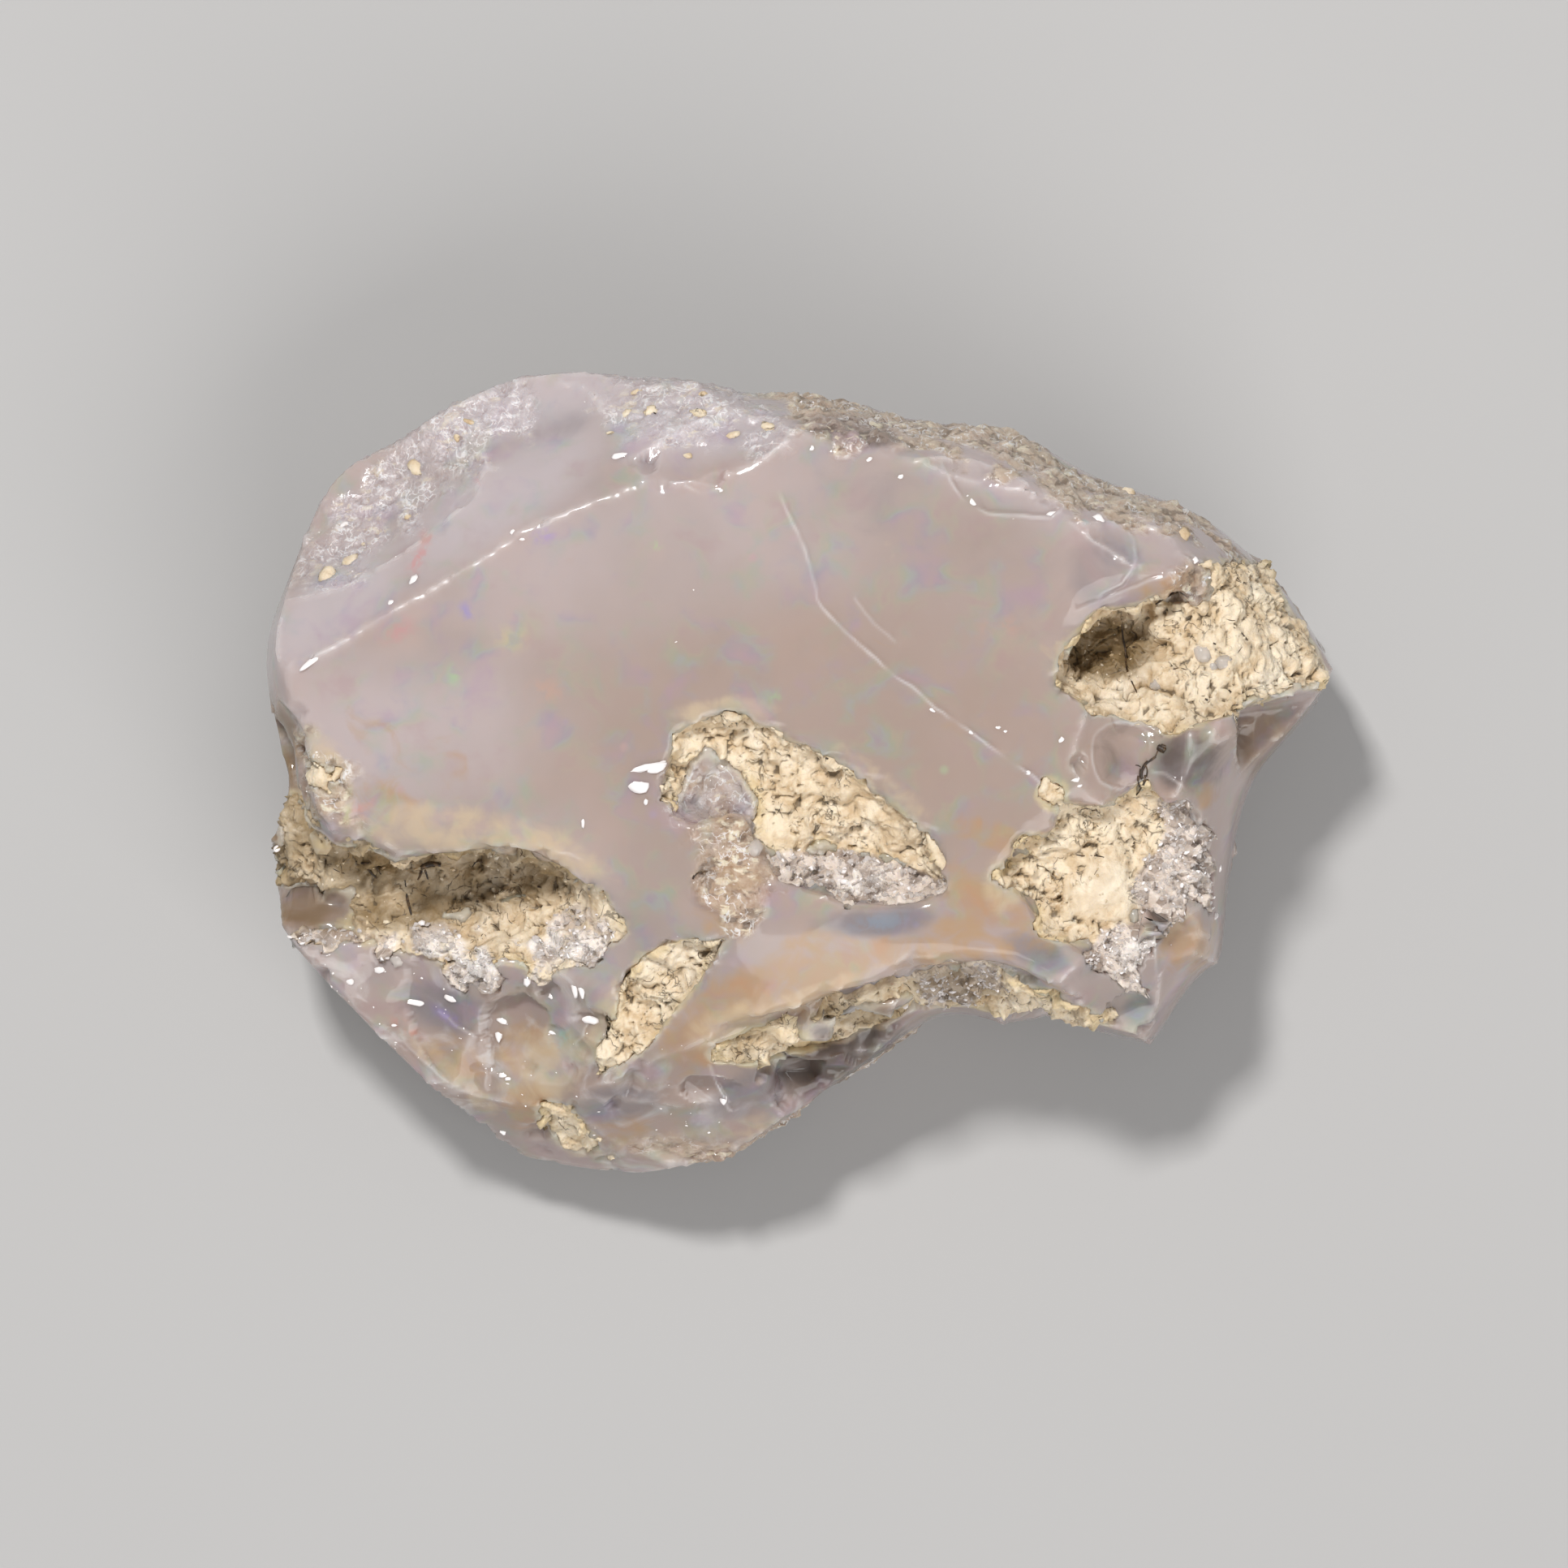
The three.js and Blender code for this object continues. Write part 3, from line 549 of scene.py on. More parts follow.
CLOUDS = {
    Tint.TAN: (
        Cloud((-8.6, -7.2), (1.0, 0.6), -30), Cloud((-7.0, -7.1), (0.9, 0.7), 20),
        Cloud((-6.9, -8.4), (0.8, 0.6), 40), Cloud((-2.8, -6.8), (0.85, 0.9), 30),
        Cloud((-0.5, -5.4), (3.0, 0.85), 18), Cloud((3.4, -4.5), (2.8, 0.5), 4, 0.9),
        Cloud((0.3, -4.3), (0.7, 0.4), 15, 0.9), Cloud((4.3, -3.0), (0.9, 0.7), -20),
        Cloud((5.2, -3.6), (0.9, 0.5), -35), Cloud((4.1, -4.0), (0.8, 0.6)),
        Cloud((4.8, -1.6), (1.3, 0.4), -20, 0.75), Cloud((9.9, -4.3), (0.9, 0.8), 20),
        Cloud((10.2, -0.6), (0.3, 0.4), 0, 0.9), Cloud((-4.5, -9.2), (1.1, 0.6), 10, 0.8),
        Cloud((-10.4, -0.7), (1.0, 0.7), -30, 0.7), Cloud((-9.6, 0.4), (2.2, 1.0), -20, 0.4),
        Cloud((-2.0, -0.5), (0.9, 0.8), 0, 0.75), Cloud((9.2, 4.6), (0.9, 0.35), 14, 0.9),
        Cloud((-1.7, -3.2), (0.9, 1.2), 10, 0.7),
    ),
    Tint.CREAM: (
        Cloud((-8.8, -1.45), (3.0, 0.75), -4, 0.9), Cloud((-5.9, -2.0), (1.4, 0.5), -30, 0.9),
        Cloud((-11.7, 0.0), (0.5, 1.3), 25, 0.9), Cloud((-4.7, -6.2), (0.6, 1.7), -32, 0.9),
        Cloud((-1.9, -6.4), (1.1, 0.6), 20, 0.9), Cloud((0.3, -5.6), (2.6, 0.3), 20, 0.75),
        Cloud((5.1, -2.9), (0.6, 0.8), 0, 0.9), Cloud((-1.9, 1.5), (1.5, 0.4), 5, 0.9),
        Cloud((2.0, -0.2), (1.8, 0.35), -38, 0.7), Cloud((-6.4, -7.4), (1.3, 1.0), 20, 0.95),
        Cloud((-9.1, -7.3), (1.1, 0.35), -40, 0.8), Cloud((-8.0, -8.3), (0.7, 0.3), -50, 0.85),
        Cloud((-2.4, -9.3), (2.6, 0.5), 12, 0.7),
    ),
    Tint.BEIGE: (
        Cloud((1.5, 0.6), (9.0, 4.6), -12, 0.9), Cloud((3.0, 4.6), (5.5, 2.6), -20, 0.5),
        Cloud((-5.0, -8.0), (6.5, 2.8), -10, 0.7), Cloud((8.4, 0.4), (2.2, 1.4)),
    ),
    Tint.BLUE: (
        Cloud((2.0, -3.75), (1.7, 0.45), 4), Cloud((5.9, -4.5), (1.0, 0.45), -25),
        Cloud((8.6, -6.0), (0.5, 0.5), 30), Cloud((-6.1, 8.7), (1.3, 0.6), 8, 0.5),
        Cloud((-4.6, -8.4), (1.3, 0.6), 5, 0.8), Cloud((-8.8, -6.0), (1.5, 0.7), -20, 0.8),
        Cloud((-1.2, -8.1), (1.5, 0.7), 30, 0.8), Cloud((9.6, 0.3), (0.9, 0.8)),
        Cloud((7.6, 5.0), (1.2, 1.0), 60, 0.7), Cloud((-2.2, 3.2), (2.8, 1.8), 0, 0.3),
        Cloud((2.8, 6.4), (3.2, 1.3), -10, 0.45), Cloud((5.4, 4.6), (2.6, 1.4), -30, 0.4),
    ),
    Tint.HALO: (
        Cloud((6.6, 3.0), (1.0, 0.5), 50), Cloud((-7.0, -1.7), (1.9, 0.4), -5, 0.9),
        Cloud((-4.9, -2.6), (0.8, 0.35), -40, 0.9), Cloud((-1.2, -6.2), (1.4, 0.4), 12, 0.8),
        Cloud((12.2, 1.2), (0.9, 0.5), 40, 0.6), Cloud((-11.8, 0.1), (0.5, 1.1), 20),
        Cloud((6.5, 7.7), (5.0, 0.9), -24, 0.7),
    ),
    # Dark clouds: darker opal; the one at (1.0, -7.2) is painted shadow on the low southern layer.
    Tint.DARK: (
        Cloud((1.4, 8.5), (1.5, 0.5), -8, 0.85), Cloud((9.8, 0.3), (1.0, 1.0), 0, 0.85),
        Cloud((8.0, 0.4), (0.7, 0.9), 0, 0.6), Cloud((1.0, -7.2), (2.0, 0.9), 22, 1.2),
        Cloud((6.4, -4.7), (1.3, 0.5), -25, 0.5),
    ),
    # Pale clouds: partly paler opal, partly painted light: the north-western bevel painted lighter and cooler as a
    # sheen, and the north-eastern band lifted where its slopes lie in shade.
    Tint.PALE_AND_LIT: (
        Cloud((-9.5, 1.0), (3.5, 2.0), 10, 0.4), Cloud((-11.6, 4.2), (2.4, 0.9), 38),
        Cloud((-7.4, 6.9), (3.4, 1.0), 34), Cloud((-2.4, 8.7), (2.6, 1.0), 5), Cloud((1.5, -2.9), (0.6, 0.35)),
        Cloud((-6.5, 9.3), (3.2, 0.9), 14), Cloud((-3.0, 5.5), (5.5, 2.2), 12, 0.35),
        Cloud((5.5, 8.2), (6.0, 1.6), -24, 0.6),
    ),
}
FLASHES = (
    Flash(0.01, (-9.5, 5.3), (0.18, 0.45), -30, 0.5), Flash(0.03, (-9.3, 5.85), (0.2, 0.2)),
    Flash(0.0, (-8.0, 7.25), (0.12, 0.12)), Flash(0.27, (-3.5, 5.65), (0.14, 0.12), 0, 0.5),
    Flash(0.73, (-6.35, 5.85), (0.28, 0.22), 0, 0.35), Flash(0.68, (-8.3, 3.95), (0.15, 0.25), 20, 0.4),
    Flash(0.28, (-8.6, 2.4), (0.16, 0.25), 0, 0.35), Flash(0.99, (-10.0, 3.5), (0.4, 0.3), 30, 0.3),
    Flash(0.13, (-7.2, 3.3), (0.4, 0.35), 0, 0.25), Flash(0.06, (-6.3, 2.0), (0.45, 0.3), 0, 0.25),
    Flash(0.24, (-11.3, -0.95), (0.12, 0.45), -8, 0.5), Flash(0.03, (-10.95, -0.85), (0.3, 0.4), -20, 0.4),
    Flash(0.04, (-9.85, -6.5), (0.45, 0.16), -30, 0.5), Flash(0.72, (-8.8, -6.2), (0.45, 0.14), -35, 0.35),
    Flash(0.5, (-6.0, -6.7), (0.3, 0.18), 40, 0.3), Flash(0.56, (2.0, -3.8), (0.7, 0.25), 10, 0.2),
    Flash(0.3, (-0.6, 1.9), (0.2, 0.15), 0, 0.25), Flash(0.05, (5.0, 3.6), (0.5, 0.3), 0, 0.25),
)
SOUTH_WEST_GLASS = (
    (-13.6, -3.8), (-12.2, -4.5), (-10.8, -4.95), (-9.2, -5.0), (-8.4, -5.6), (-7.5, -6.3), (-6.8, -5.4),
    (-5.6, -5.2), (-4.9, -5.6), (-5.1, -7.6), (-4.2, -7.4), (-2.9, -6.2), (-2.3, -7.4), (-1.6, -9.6),
    (-4.0, -10.6), (-8.0, -10.4), (-11.5, -7.0),
)
MOSS = (
    (0.2, ((8.98, 0.6), (9.08, 0.56), (9.16, 0.5))), (0.13, ((9.05, 0.64), (9.12, 0.6), (9.18, 0.6))),
    (0.04, ((9.0, 0.55), (8.95, 0.44), (8.92, 0.34))), (0.07, ((8.93, 0.36), (8.84, 0.3), (8.72, 0.2))),
    (0.1, ((8.74, 0.24), (8.63, 0.14), (8.6, 0.02))), (0.06, ((8.7, 0.12), (8.74, 0.0), (8.7, -0.14))),
    (0.12, ((8.58, 0.05), (8.55, -0.08), (8.6, -0.2))), (0.08, ((8.66, -0.1), (8.68, -0.24), (8.62, -0.36))),
    (0.07, ((8.5, -0.12), (8.48, -0.26), (8.54, -0.4))), (0.05, ((8.6, -0.34), (8.55, -0.5), (8.46, -0.6))),
    (0.03, ((8.56, 0.1), (8.48, 0.16), (8.42, 0.14))),
)
THREADS = (
    *MOSS,
    (0.05, ((-2.62, -2.6), (-2.66, -2.74), (-2.6, -2.6), (-2.45, -2.5), (-2.28, -2.52))),
    (0.16, ((-9.5, -2.44), (-9.35, -2.36), (-9.2, -2.33), (-9.0, -2.37))),
    (0.07, ((-9.47, -2.45), (-9.5, -2.6), (-9.58, -2.74))), (0.06, ((-9.4, -2.48), (-9.34, -2.66), (-9.3, -2.85))),
    (0.08, ((-11.12, -2.26), (-10.95, -2.36), (-10.76, -2.3))),
    (0.06, ((-10.92, -2.36), (-10.8, -2.52), (-10.62, -2.7))),
    (0.05, ((-10.75, -2.3), (-10.6, -2.42), (-10.5, -2.6))),
    (0.07, ((-9.9, -2.75), (-9.86, -3.1), (-9.82, -3.35), (-9.74, -3.62))),
    (0.05, ((-8.2, -2.4), (-8.1, -2.2), (-7.95, -2.3))),
    (0.06, ((-6.55, -2.9), (-6.45, -2.92))), (0.07, ((0.67, 0.32), (0.74, 0.3))),
    (0.05, ((-3.63, 8.97), (-3.57, 8.94))), (0.07, ((10.17, 1.8), (10.24, 1.77))),
    (0.05, ((10.38, 3.2), (10.44, 3.18))), (0.05, ((10.78, 2.02), (10.83, 1.98))),
    (0.05, ((8.1, 3.8), (8.12, 3.4), (8.22, 3.0), (8.2, 2.6), (8.34, 2.25), (8.5, 1.9))),
    (0.035, ((8.2, 3.1), (8.35, 3.14), (8.5, 3.1))),
    (0.03, ((9.3, 2.5), (9.5, 2.62), (9.75, 2.5), (9.9, 2.55))),
    (0.03, ((10.9, 3.6), (11.2, 3.45), (11.35, 3.1))),
    (0.04, ((6.95, -2.1), (7.2, -2.14), (7.45, -2.1), (7.65, -2.16))),
    (0.07, ((8.95, 4.18), (9.1, 4.3), (9.35, 4.45), (9.55, 4.5), (9.78, 4.66))),
)
FACE_CRACK = (
    (-0.5, 7.1), (-0.25, 6.5), (0.0, 6.0), (0.3, 5.1), (0.5, 4.3), (0.95, 3.7), (1.5, 3.2), (2.2, 2.6),
    (3.0, 2.0), (3.7, 1.4), (4.4, 0.9), (5.3, 0.25), (6.2, -0.4), (6.7, -0.75),
)
QUIET_FACE = (
    (-11.2, 0.9), (-3.6, 0.9), (-3.4, -1.3), (-1.6, -3.9), (-2.6, -4.1), (-3.8, -4.4), (-4.4, -3.6), (-5.4, -2.4),
    (-6.4, -1.75), (-11.0, -1.75),
)
# An uneven ring round the eastern window.
WINDOW_RING = tuple(
    (8.05 + (0.7 + 0.05 * math.sin(3 * t)) * math.cos(t), 0.4 + (0.86 + 0.05 * math.cos(2 * t)) * math.sin(t))
    for t in np.linspace(0, 2 * math.pi, 25)
)
LONG_CRACK = ((3.54, 7.8), (3.82, 7.23), (4.16, 6.78), (4.72, 6.5), (5.5, 6.36), (6.3, 6.36), (6.65, 6.6))
CRACKS = (
    Crack(FACE_CRACK, 0.05, 1.1, 0.9),
    Crack(((1.4, 4.4), (1.9, 3.7), (2.5, 3.2)), 0.02, 0.4, 0.4),
    Crack(LONG_CRACK, 0.09, 0.9, 0.6),
    Crack(((6.7, 6.3), (7.4, 5.75), (8.0, 5.4), (8.4, 5.1)), 0.05, 0.5, 0.5),
    Crack(((8.1, 6.2), (8.4, 5.8), (8.5, 5.3), (8.1, 4.65), (7.4, 4.3)), 0.05, 0.4, 0.5),
    Crack(((6.9, 4.0), (7.75, 4.4), (8.65, 4.75), (9.8, 5.0)), 0.05, 0.3, 0.3),
    Crack(WINDOW_RING, 0.05, 0.22, 0.6),
    Crack(((8.75, 0.05), (9.2, -0.06), (9.66, -0.4), (9.85, -1.0), (10.1, -1.8)), 0.04, 0.3),
    Crack(((-7.75, -6.6), (-7.75, -7.4), (-7.85, -7.9), (-7.6, -8.9), (-7.35, -9.5)), 0.1, 0.6, 0.6),
    Crack(((-5.2, -6.2), (-5.45, -6.7), (-5.85, -7.1)), 0.06, 0.5, 0.4),
    Crack(((-9.1, -6.0), (-8.6, -6.4), (-8.1, -6.7)), 0.05, 0.4, 0.4),
    Crack(((-2.25, -7.3), (-2.1, -7.7), (-1.85, -8.2), (-1.7, -8.6)), 0.1, 0.5, 0.6),
    Crack(((-8.2, -8.4), (-9.6, -7.2), (-11.1, -6.0), (-12.7, -4.3)), 0.07, 0.3, 0.4),
    Crack(((8.95, -4.0), (9.0, -4.6), (9.0, -5.1), (8.85, -5.6)), 0.07, 0.6, 0.4),
    Crack(((-2.85, 7.2), (-2.46, 6.98), (-1.95, 7.04)), 0.03, 0.3, 0.6),
)
# Nicks where the stone shows highlights; their near-white finish is a painted highlight.
GLINTS = (
    Lens((-3.95, 0.08), (0.64, 0.1), 0.05, 8), Lens((-3.6, 0.12), (0.3, 0.2), 0.06, 20),
    Lens((-4.07, -0.3), (0.4, 0.22), 0.06, -32), Lens((-3.82, -0.73), (0.06, 0.13), 0.03),
    Lens((-5.39, -1.23), (0.05, 0.22), 0.02), Lens((-4.41, 7.86), (0.36, 0.1), 0.03),
    Lens((-9.6, 4.75), (0.14, 0.16), 0.03), Lens((-10.16, 4.2), (0.1, 0.08), 0.02),
    Lens((-7.13, 5.96), (0.08, 0.07), 0.02), Lens((-6.9, 5.8), (0.08, 0.07), 0.02),
    Lens((-1.97, 7.04), (0.1, 0.08), 0.02), Lens((-12.1, 2.8), (0.5, 0.07), 0.02, 38),
    Lens((-11.4, 6.17), (0.12, 0.08), 0.02, 30), Lens((7.47, 6.28), (0.18, 0.14), 0.04),
    Lens((9.89, 5.27), (0.11, 0.1), 0.03), Lens((4.3, 6.75), (0.2, 0.07), 0.02, -40),
    Lens((6.35, 6.42), (0.18, 0.08), 0.02, 10), Lens((6.55, 0.8), (0.1, 0.11), 0.03),
    Lens((4.95, 1.1), (0.13, 0.06), 0.02, -20), Lens((5.15, 1.0), (0.06, 0.05), 0.02),
    Lens((6.9, -0.2), (0.12, 0.08), 0.02), Lens((7.0, -0.36), (0.08, 0.06), 0.02),
    Lens((5.73, -0.04), (0.07, 0.06), 0.02), Lens((4.29, 0.97), (0.08, 0.05), 0.02, -30),
    Lens((3.3, 1.55), (0.14, 0.05), 0.02, -35), Lens((2.53, 7.37), (0.1, 0.08), 0.02),
    Lens((1.74, 7.79), (0.1, 0.08), 0.02), Lens((0.31, 8.07), (0.09, 0.08), 0.02),
    Lens((10.47, -3.64), (0.09, 0.1), 0.03), Lens((10.6, -2.43), (0.05, 0.12), 0.02),
    Lens((2.69, -5.9), (0.08, 0.08), 0.02), Lens((-1.88, -8.26), (0.09, 0.16), 0.03),
    Lens((-9.8, -5.78), (0.4, 0.11), 0.04, -10), Lens((-8.71, -5.7), (0.22, 0.11), 0.03, -10),
    Lens((-11.3, -5.26), (0.11, 0.15), 0.04, 20), Lens((-10.55, -4.96), (0.18, 0.13), 0.07),
    Lens((-6.81, -5.2), (0.1, 0.24), 0.03), Lens((-5.63, -5.4), (0.07, 0.32), 0.03, 8),
    Lens((-5.46, -5.45), (0.07, 0.3), 0.03, 12), Lens((-5.27, -6.2), (0.25, 0.17), 0.06, -10),
    Lens((-7.46, -6.24), (0.16, 0.14), 0.03), Lens((-7.54, -6.6), (0.1, 0.24), 0.03),
    Lens((-7.42, -7.62), (0.16, 0.09), 0.03, 30), Lens((-7.3, -7.72), (0.1, 0.07), 0.02, 30),
    Lens((-6.2, -6.55), (0.14, 0.09), 0.03, -20), Lens((-6.2, -5.65), (0.09, 0.08), 0.02),
    Lens((-10.2, -6.38), (0.09, 0.07), 0.02), Lens((-7.46, -9.1), (0.08, 0.09), 0.02),
    Lens((-13.15, -1.96), (0.08, 0.09), 0.02),
)
BEADS = (
    Lens((10.1, 2.95), (0.22, 0.3), 0.16, 20), Lens((10.65, 2.7), (0.24, 0.18), 0.14, -20),
    Lens((10.4, 2.6), (0.14, 0.2), 0.1), Lens((8.95, 2.15), (0.16, 0.14), 0.08),
    Lens((-1.12, -1.95), (0.28, 0.2), 0.2, 30), Lens((-1.9, 0.1), (0.14, 0.1), 0.08),
    Lens((-2.5, -0.2), (0.12, 0.09), 0.07, 40), Lens((-10.1, -4.75), (0.2, 0.2), 0.12),
)
CREAM_GRAINS = (
    Lens((-11.8, 4.88), (0.3, 0.24), 0.12, 60), Lens((-11.24, 5.24), (0.26, 0.17), 0.1, 40),
    Lens((-9.6, 7.6), (0.2, 0.24), 0.12, 20), Lens((-8.57, 8.39), (0.08, 0.15), 0.06),
    Lens((-8.26, 8.75), (0.17, 0.07), 0.05, -20), Lens((-9.8, 6.37), (0.09, 0.08), 0.04),
    Lens((-10.9, 5.7), (0.07, 0.06), 0.04), Lens((-4.3, 8.95), (0.14, 0.1), 0.06, 30),
    Lens((-3.7, 9.02), (0.2, 0.14), 0.06, 20), Lens((-2.5, 8.95), (0.22, 0.13), 0.07, -10),
    Lens((-2.4, 9.42), (0.13, 0.09), 0.05), Lens((-1.64, 8.39), (0.2, 0.1), 0.06, 10),
    Lens((-0.77, 8.6), (0.22, 0.14), 0.08, -20), Lens((-2.77, 7.87), (0.13, 0.08), 0.04),
    Lens((-4.7, 8.46), (0.14, 0.05), 0.03), Lens((-4.05, 9.5), (0.17, 0.08), 0.04, 20),
    Lens((8.3, 7.0), (0.2, 0.15), 0.08, -30), Lens((9.6, 5.9), (0.2, 0.22), 0.1),
)
NAMED_FLAKES = (
    Flake((9.5, -4.4), -20, 40, (0.9, 0.7), 0.15, 30), Flake((8.7, -5.9), -75, 42, (0.9, 0.6), 0.15, 80),
    Flake((-8.9, -6.2), 215, 28, (1.4, 0.7), 0.1, 70), Flake((-6.9, -6.7), 200, 30, (1.0, 0.8), 0.15, 80),
    Flake((-5.4, -6.5), 120, 12, (0.7, 0.35), 0.1, 70), Flake((-1.9, -8.2), 250, 30, (0.9, 0.5), 0.1, 80),
)


def read(collection: bpy.types.bpy_prop_collection, name: str, width: int, kind: type = float) -> Array:
    """One property of all of a mesh's elements.

    Args:
        collection: the vertices, edges or triangles.
        name: the property.
        width: how many numbers it has.
        kind: float or int.

    Returns:
        An array with a row for each element.
    """
    values = np.zeros(len(collection) * width, np.float32 if kind is float else np.int32)
    collection.foreach_get(name, values)
    return values.reshape(-1, width).astype(kind)


class Skin:
    """A mesh's surface as arrays: its points, edges and triangles, in millimetres."""

    def __init__(self, mesh: bpy.types.Mesh) -> None:
        """Reads the mesh.

        Args:
            mesh: the mesh, in millimetres.
        """
        self.mesh = mesh
        self.points = read(mesh.vertices, "co", 3)
        self.edges = read(mesh.edges, "vertices", 2, int)
        mesh.calc_loop_triangles()
        self.triangles = read(mesh.loop_triangles, "vertices", 3, int)

    def gather(self, corners: Array, values: Array) -> Array:
        """Adds up rows of values at the points that they belong to, which corners gives."""
        count = len(self.points)
        return np.stack([np.bincount(corners, values[:, k], count) for k in range(values.shape[1])], axis=1)

    def normals(self) -> Array:
        """Finds the direction that the surface faces.

        Returns:
            A row for each point.
        """
        a, b, c = (self.points[self.triangles[:, k]] for k in range(3))
        faces = np.cross(b - a, c - a)
        return unit(sum(self.gather(self.triangles[:, k], faces) for k in range(3)))

    def spread(self, values: Array, weight: Array | float, rounds: int) -> Array:
        """Evens values out over the surface.

        Args:
            values: a row for each point.
            weight: how far each value goes towards its neighbours' mean in a round.
            rounds: how often.

        Returns:
            The evened values.
        """
        first, second = self.edges.T
        ones = np.ones((len(first), 1))
        count = self.gather(first, ones) + self.gather(second, ones)
        share = np.reshape(weight, (-1, 1)) if isinstance(weight, Array) else weight
        for _ in range(rounds):
            mean = (self.gather(first, values[second]) + self.gather(second, values[first])) / count
            values = values + share * (mean - values)
        return values

    def even_normals(self, rounds: int) -> Array:
        """The directions that the surface faces, evened out over so many rounds."""
        return unit(self.spread(self.normals(), 0.5, rounds))

    def tree(self) -> BVHTree:
        """The surface, ready for lines to be dropped on it."""
        return BVHTree.FromPolygons(self.points.tolist(), self.triangles.tolist())

    def bound(self) -> None:
        """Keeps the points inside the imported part's box."""
        low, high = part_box(CAD_NODE)
        self.points = np.clip(self.points, np.array(low) / MM, np.array(high) / MM)

    def store(self) -> None:
        """Writes the points back to the mesh."""
        self.mesh.vertices.foreach_set("co", self.points.astype(np.float32).ravel())
        self.mesh.update()


def drop(surface: BVHTree, plan: Iterable[float]) -> tuple[Vector | None, Vector | None]:
    """Where a line dropped from above hits a surface, and the way that the surface faces there."""
    return surface.ray_cast(Vector((*plan, ABOVE)), DOWN)[:2]


def search_tree(points: Iterable[Sequence[float]]) -> kdtree.KDTree:
    """Makes points ready to be searched.

    Args:
        points: the points.

    Returns:
        A tree that finds the nearest ones.
    """
    places = list(points)
    tree = kdtree.KDTree(len(places))
    for i, point in enumerate(places):
        tree.insert(point, i)
    tree.balance()
    return tree


def distances(tree: kdtree.KDTree, points: Array) -> Array:
    """How far each point is from the nearest one in a tree."""
    return np.array([tree.find(point)[2] for point in points])


class Bench:
    """The node tree of one material, with short calls that add nodes and link them."""

    def __init__(self, name: str) -> None:
        """Starts a material whose patterns are placed in millimetres on the object.

        Args:
            name: the material's name.
        """
        self.material = bpy.data.materials.new(name)
        self.material.use_nodes = True
        self.tree = self.material.node_tree
        self.shader = self.tree.nodes["Principled BSDF"]
        place = self.add("ShaderNodeTexCoord").outputs["Object"]
        self.place = self.add("ShaderNodeMapping", {"Vector": place, "Scale": (1 / MM,) * 3}).outputs[0]

    def set(self, node: bpy.types.Node, socket: str | int, value: object) -> None:
        """Links a socket to another node's output, or sets its number or colour.

        Args:
            node: the node.
            socket: its socket's name or number.
            value: an output, a number or a colour.
        """
        if isinstance(value, Socket):
            self.tree.links.new(value, node.inputs[socket])
        else:
            node.inputs[socket].default_value = value

    def add(self, kind: str, inputs: dict[str | int, object] | None = None, **settings: object) -> bpy.types.Node:
        """Adds a node.

        Args:
            kind: Blender's name for it.
            inputs: what its sockets are linked or set to.
            settings: its own settings.

        Returns:
            The node.
        """
        node = self.tree.nodes.new(kind)
        for name, value in settings.items():
            setattr(node, name, value)
        for socket, value in (inputs or {}).items():
            self.set(node, socket, value)
        return node

    def field(self, name: str) -> Socket:
        """A number stored at the mesh's points."""
        return self.add("ShaderNodeAttribute", attribute_name=name).outputs["Fac"]

    def noise(
        self, size: float, detail: float = 3, bend: float = 0.0, offset: float = 0.0, stretch: float = 1.0
    ) -> Socket:
        """Cloudy noise from 0 to 1.

        Args:
            size: how far apart its clouds are, in millimetres.
            detail: how many finer layers it has.
            bend: how much it is distorted.
            offset: another number gives another pattern.
            stretch: how many times as long its clouds are along X.

        Returns:
            The value.
        """
        turned = {"Vector": self.place, "Location": (offset,) * 3, "Scale": (1 / stretch, 1, 1)}
        place = self.add("ShaderNodeMapping", turned).outputs[0]
        inputs = {"Vector": place, "Scale": 1 / size, "Detail": detail, "Distortion": bend}
        return self.add("ShaderNodeTexNoise", inputs).outputs["Fac"]

    def cells(self, size: float, feature: str = "F1") -> bpy.types.Node:
        """A pattern of cells so many millimetres wide."""
        return self.add("ShaderNodeTexVoronoi", {"Vector": self.place, "Scale": 1 / size}, feature=feature)

    def spot(self, at: Point, radii: Point, turn: float, strength: float) -> Socket:
        """An ellipse seen from above that fades outwards.

        Args:
            at: its middle.
            radii: its half lengths, along and across.
            turn: its turn in degrees.
            strength: the value in its middle.

        Returns:
            The value.
        """
        lie = {"Location": (*at, 0), "Rotation": (0, 0, math.radians(turn)), "Scale": (*radii, 1e3)}
        local = self.add("ShaderNodeMapping", {"Vector": self.place, **lie}, vector_type="TEXTURE").outputs[0]
        off = self.add("ShaderNodeVectorMath", {0: local}, operation="LENGTH").outputs["Value"]
        return self.ramp(off, 1.7, 0.1, 0.0, strength)

    def ramp(self, value: Socket, low: float, high: float, start: float = 0.0, end: float = 1.0) -> Socket:
        """Goes smoothly from start to end as the value passes from low to high."""
        inputs = {"Value": value, 1: low, 2: high, 3: start, 4: end}
        return self.add("ShaderNodeMapRange", inputs, interpolation_type="SMOOTHSTEP").outputs[0]

    def sum(self, *values: object, operation: str = "ADD") -> Socket:
        """Joins numbers, from the first to the last.

        Args:
            values: outputs or numbers.
            operation: Blender's name for how two of them are joined.

        Returns:
            The result.
        """
        result = values[0]
        for value in values[1:]:
            result = self.add("ShaderNodeMath", {0: result, 1: value}, operation=operation).outputs[0]
        return result

    def product(self, *values: object) -> Socket:
        """Multiplies numbers."""
        return self.sum(*values, operation="MULTIPLY")

    def mix(self, share: object, first: object, second: object) -> Socket:
        """Goes from the first colour to the second as the share goes from 0 to 1."""
        return self.add("ShaderNodeMix", {0: share, 6: first, 7: second}, data_type="RGBA").outputs[2]

    def layers(self, base: object, *covers: tuple[object, object]) -> Socket:
        """Lays colours over one another.

        Args:
            base: the lowest colour.
            covers: for each layer over it, how far it covers, from 0 to 1, and its colour.

        Returns:
            The colour that shows.
        """
        for share, shade in covers:
            base = self.mix(share, base, shade)
        return base

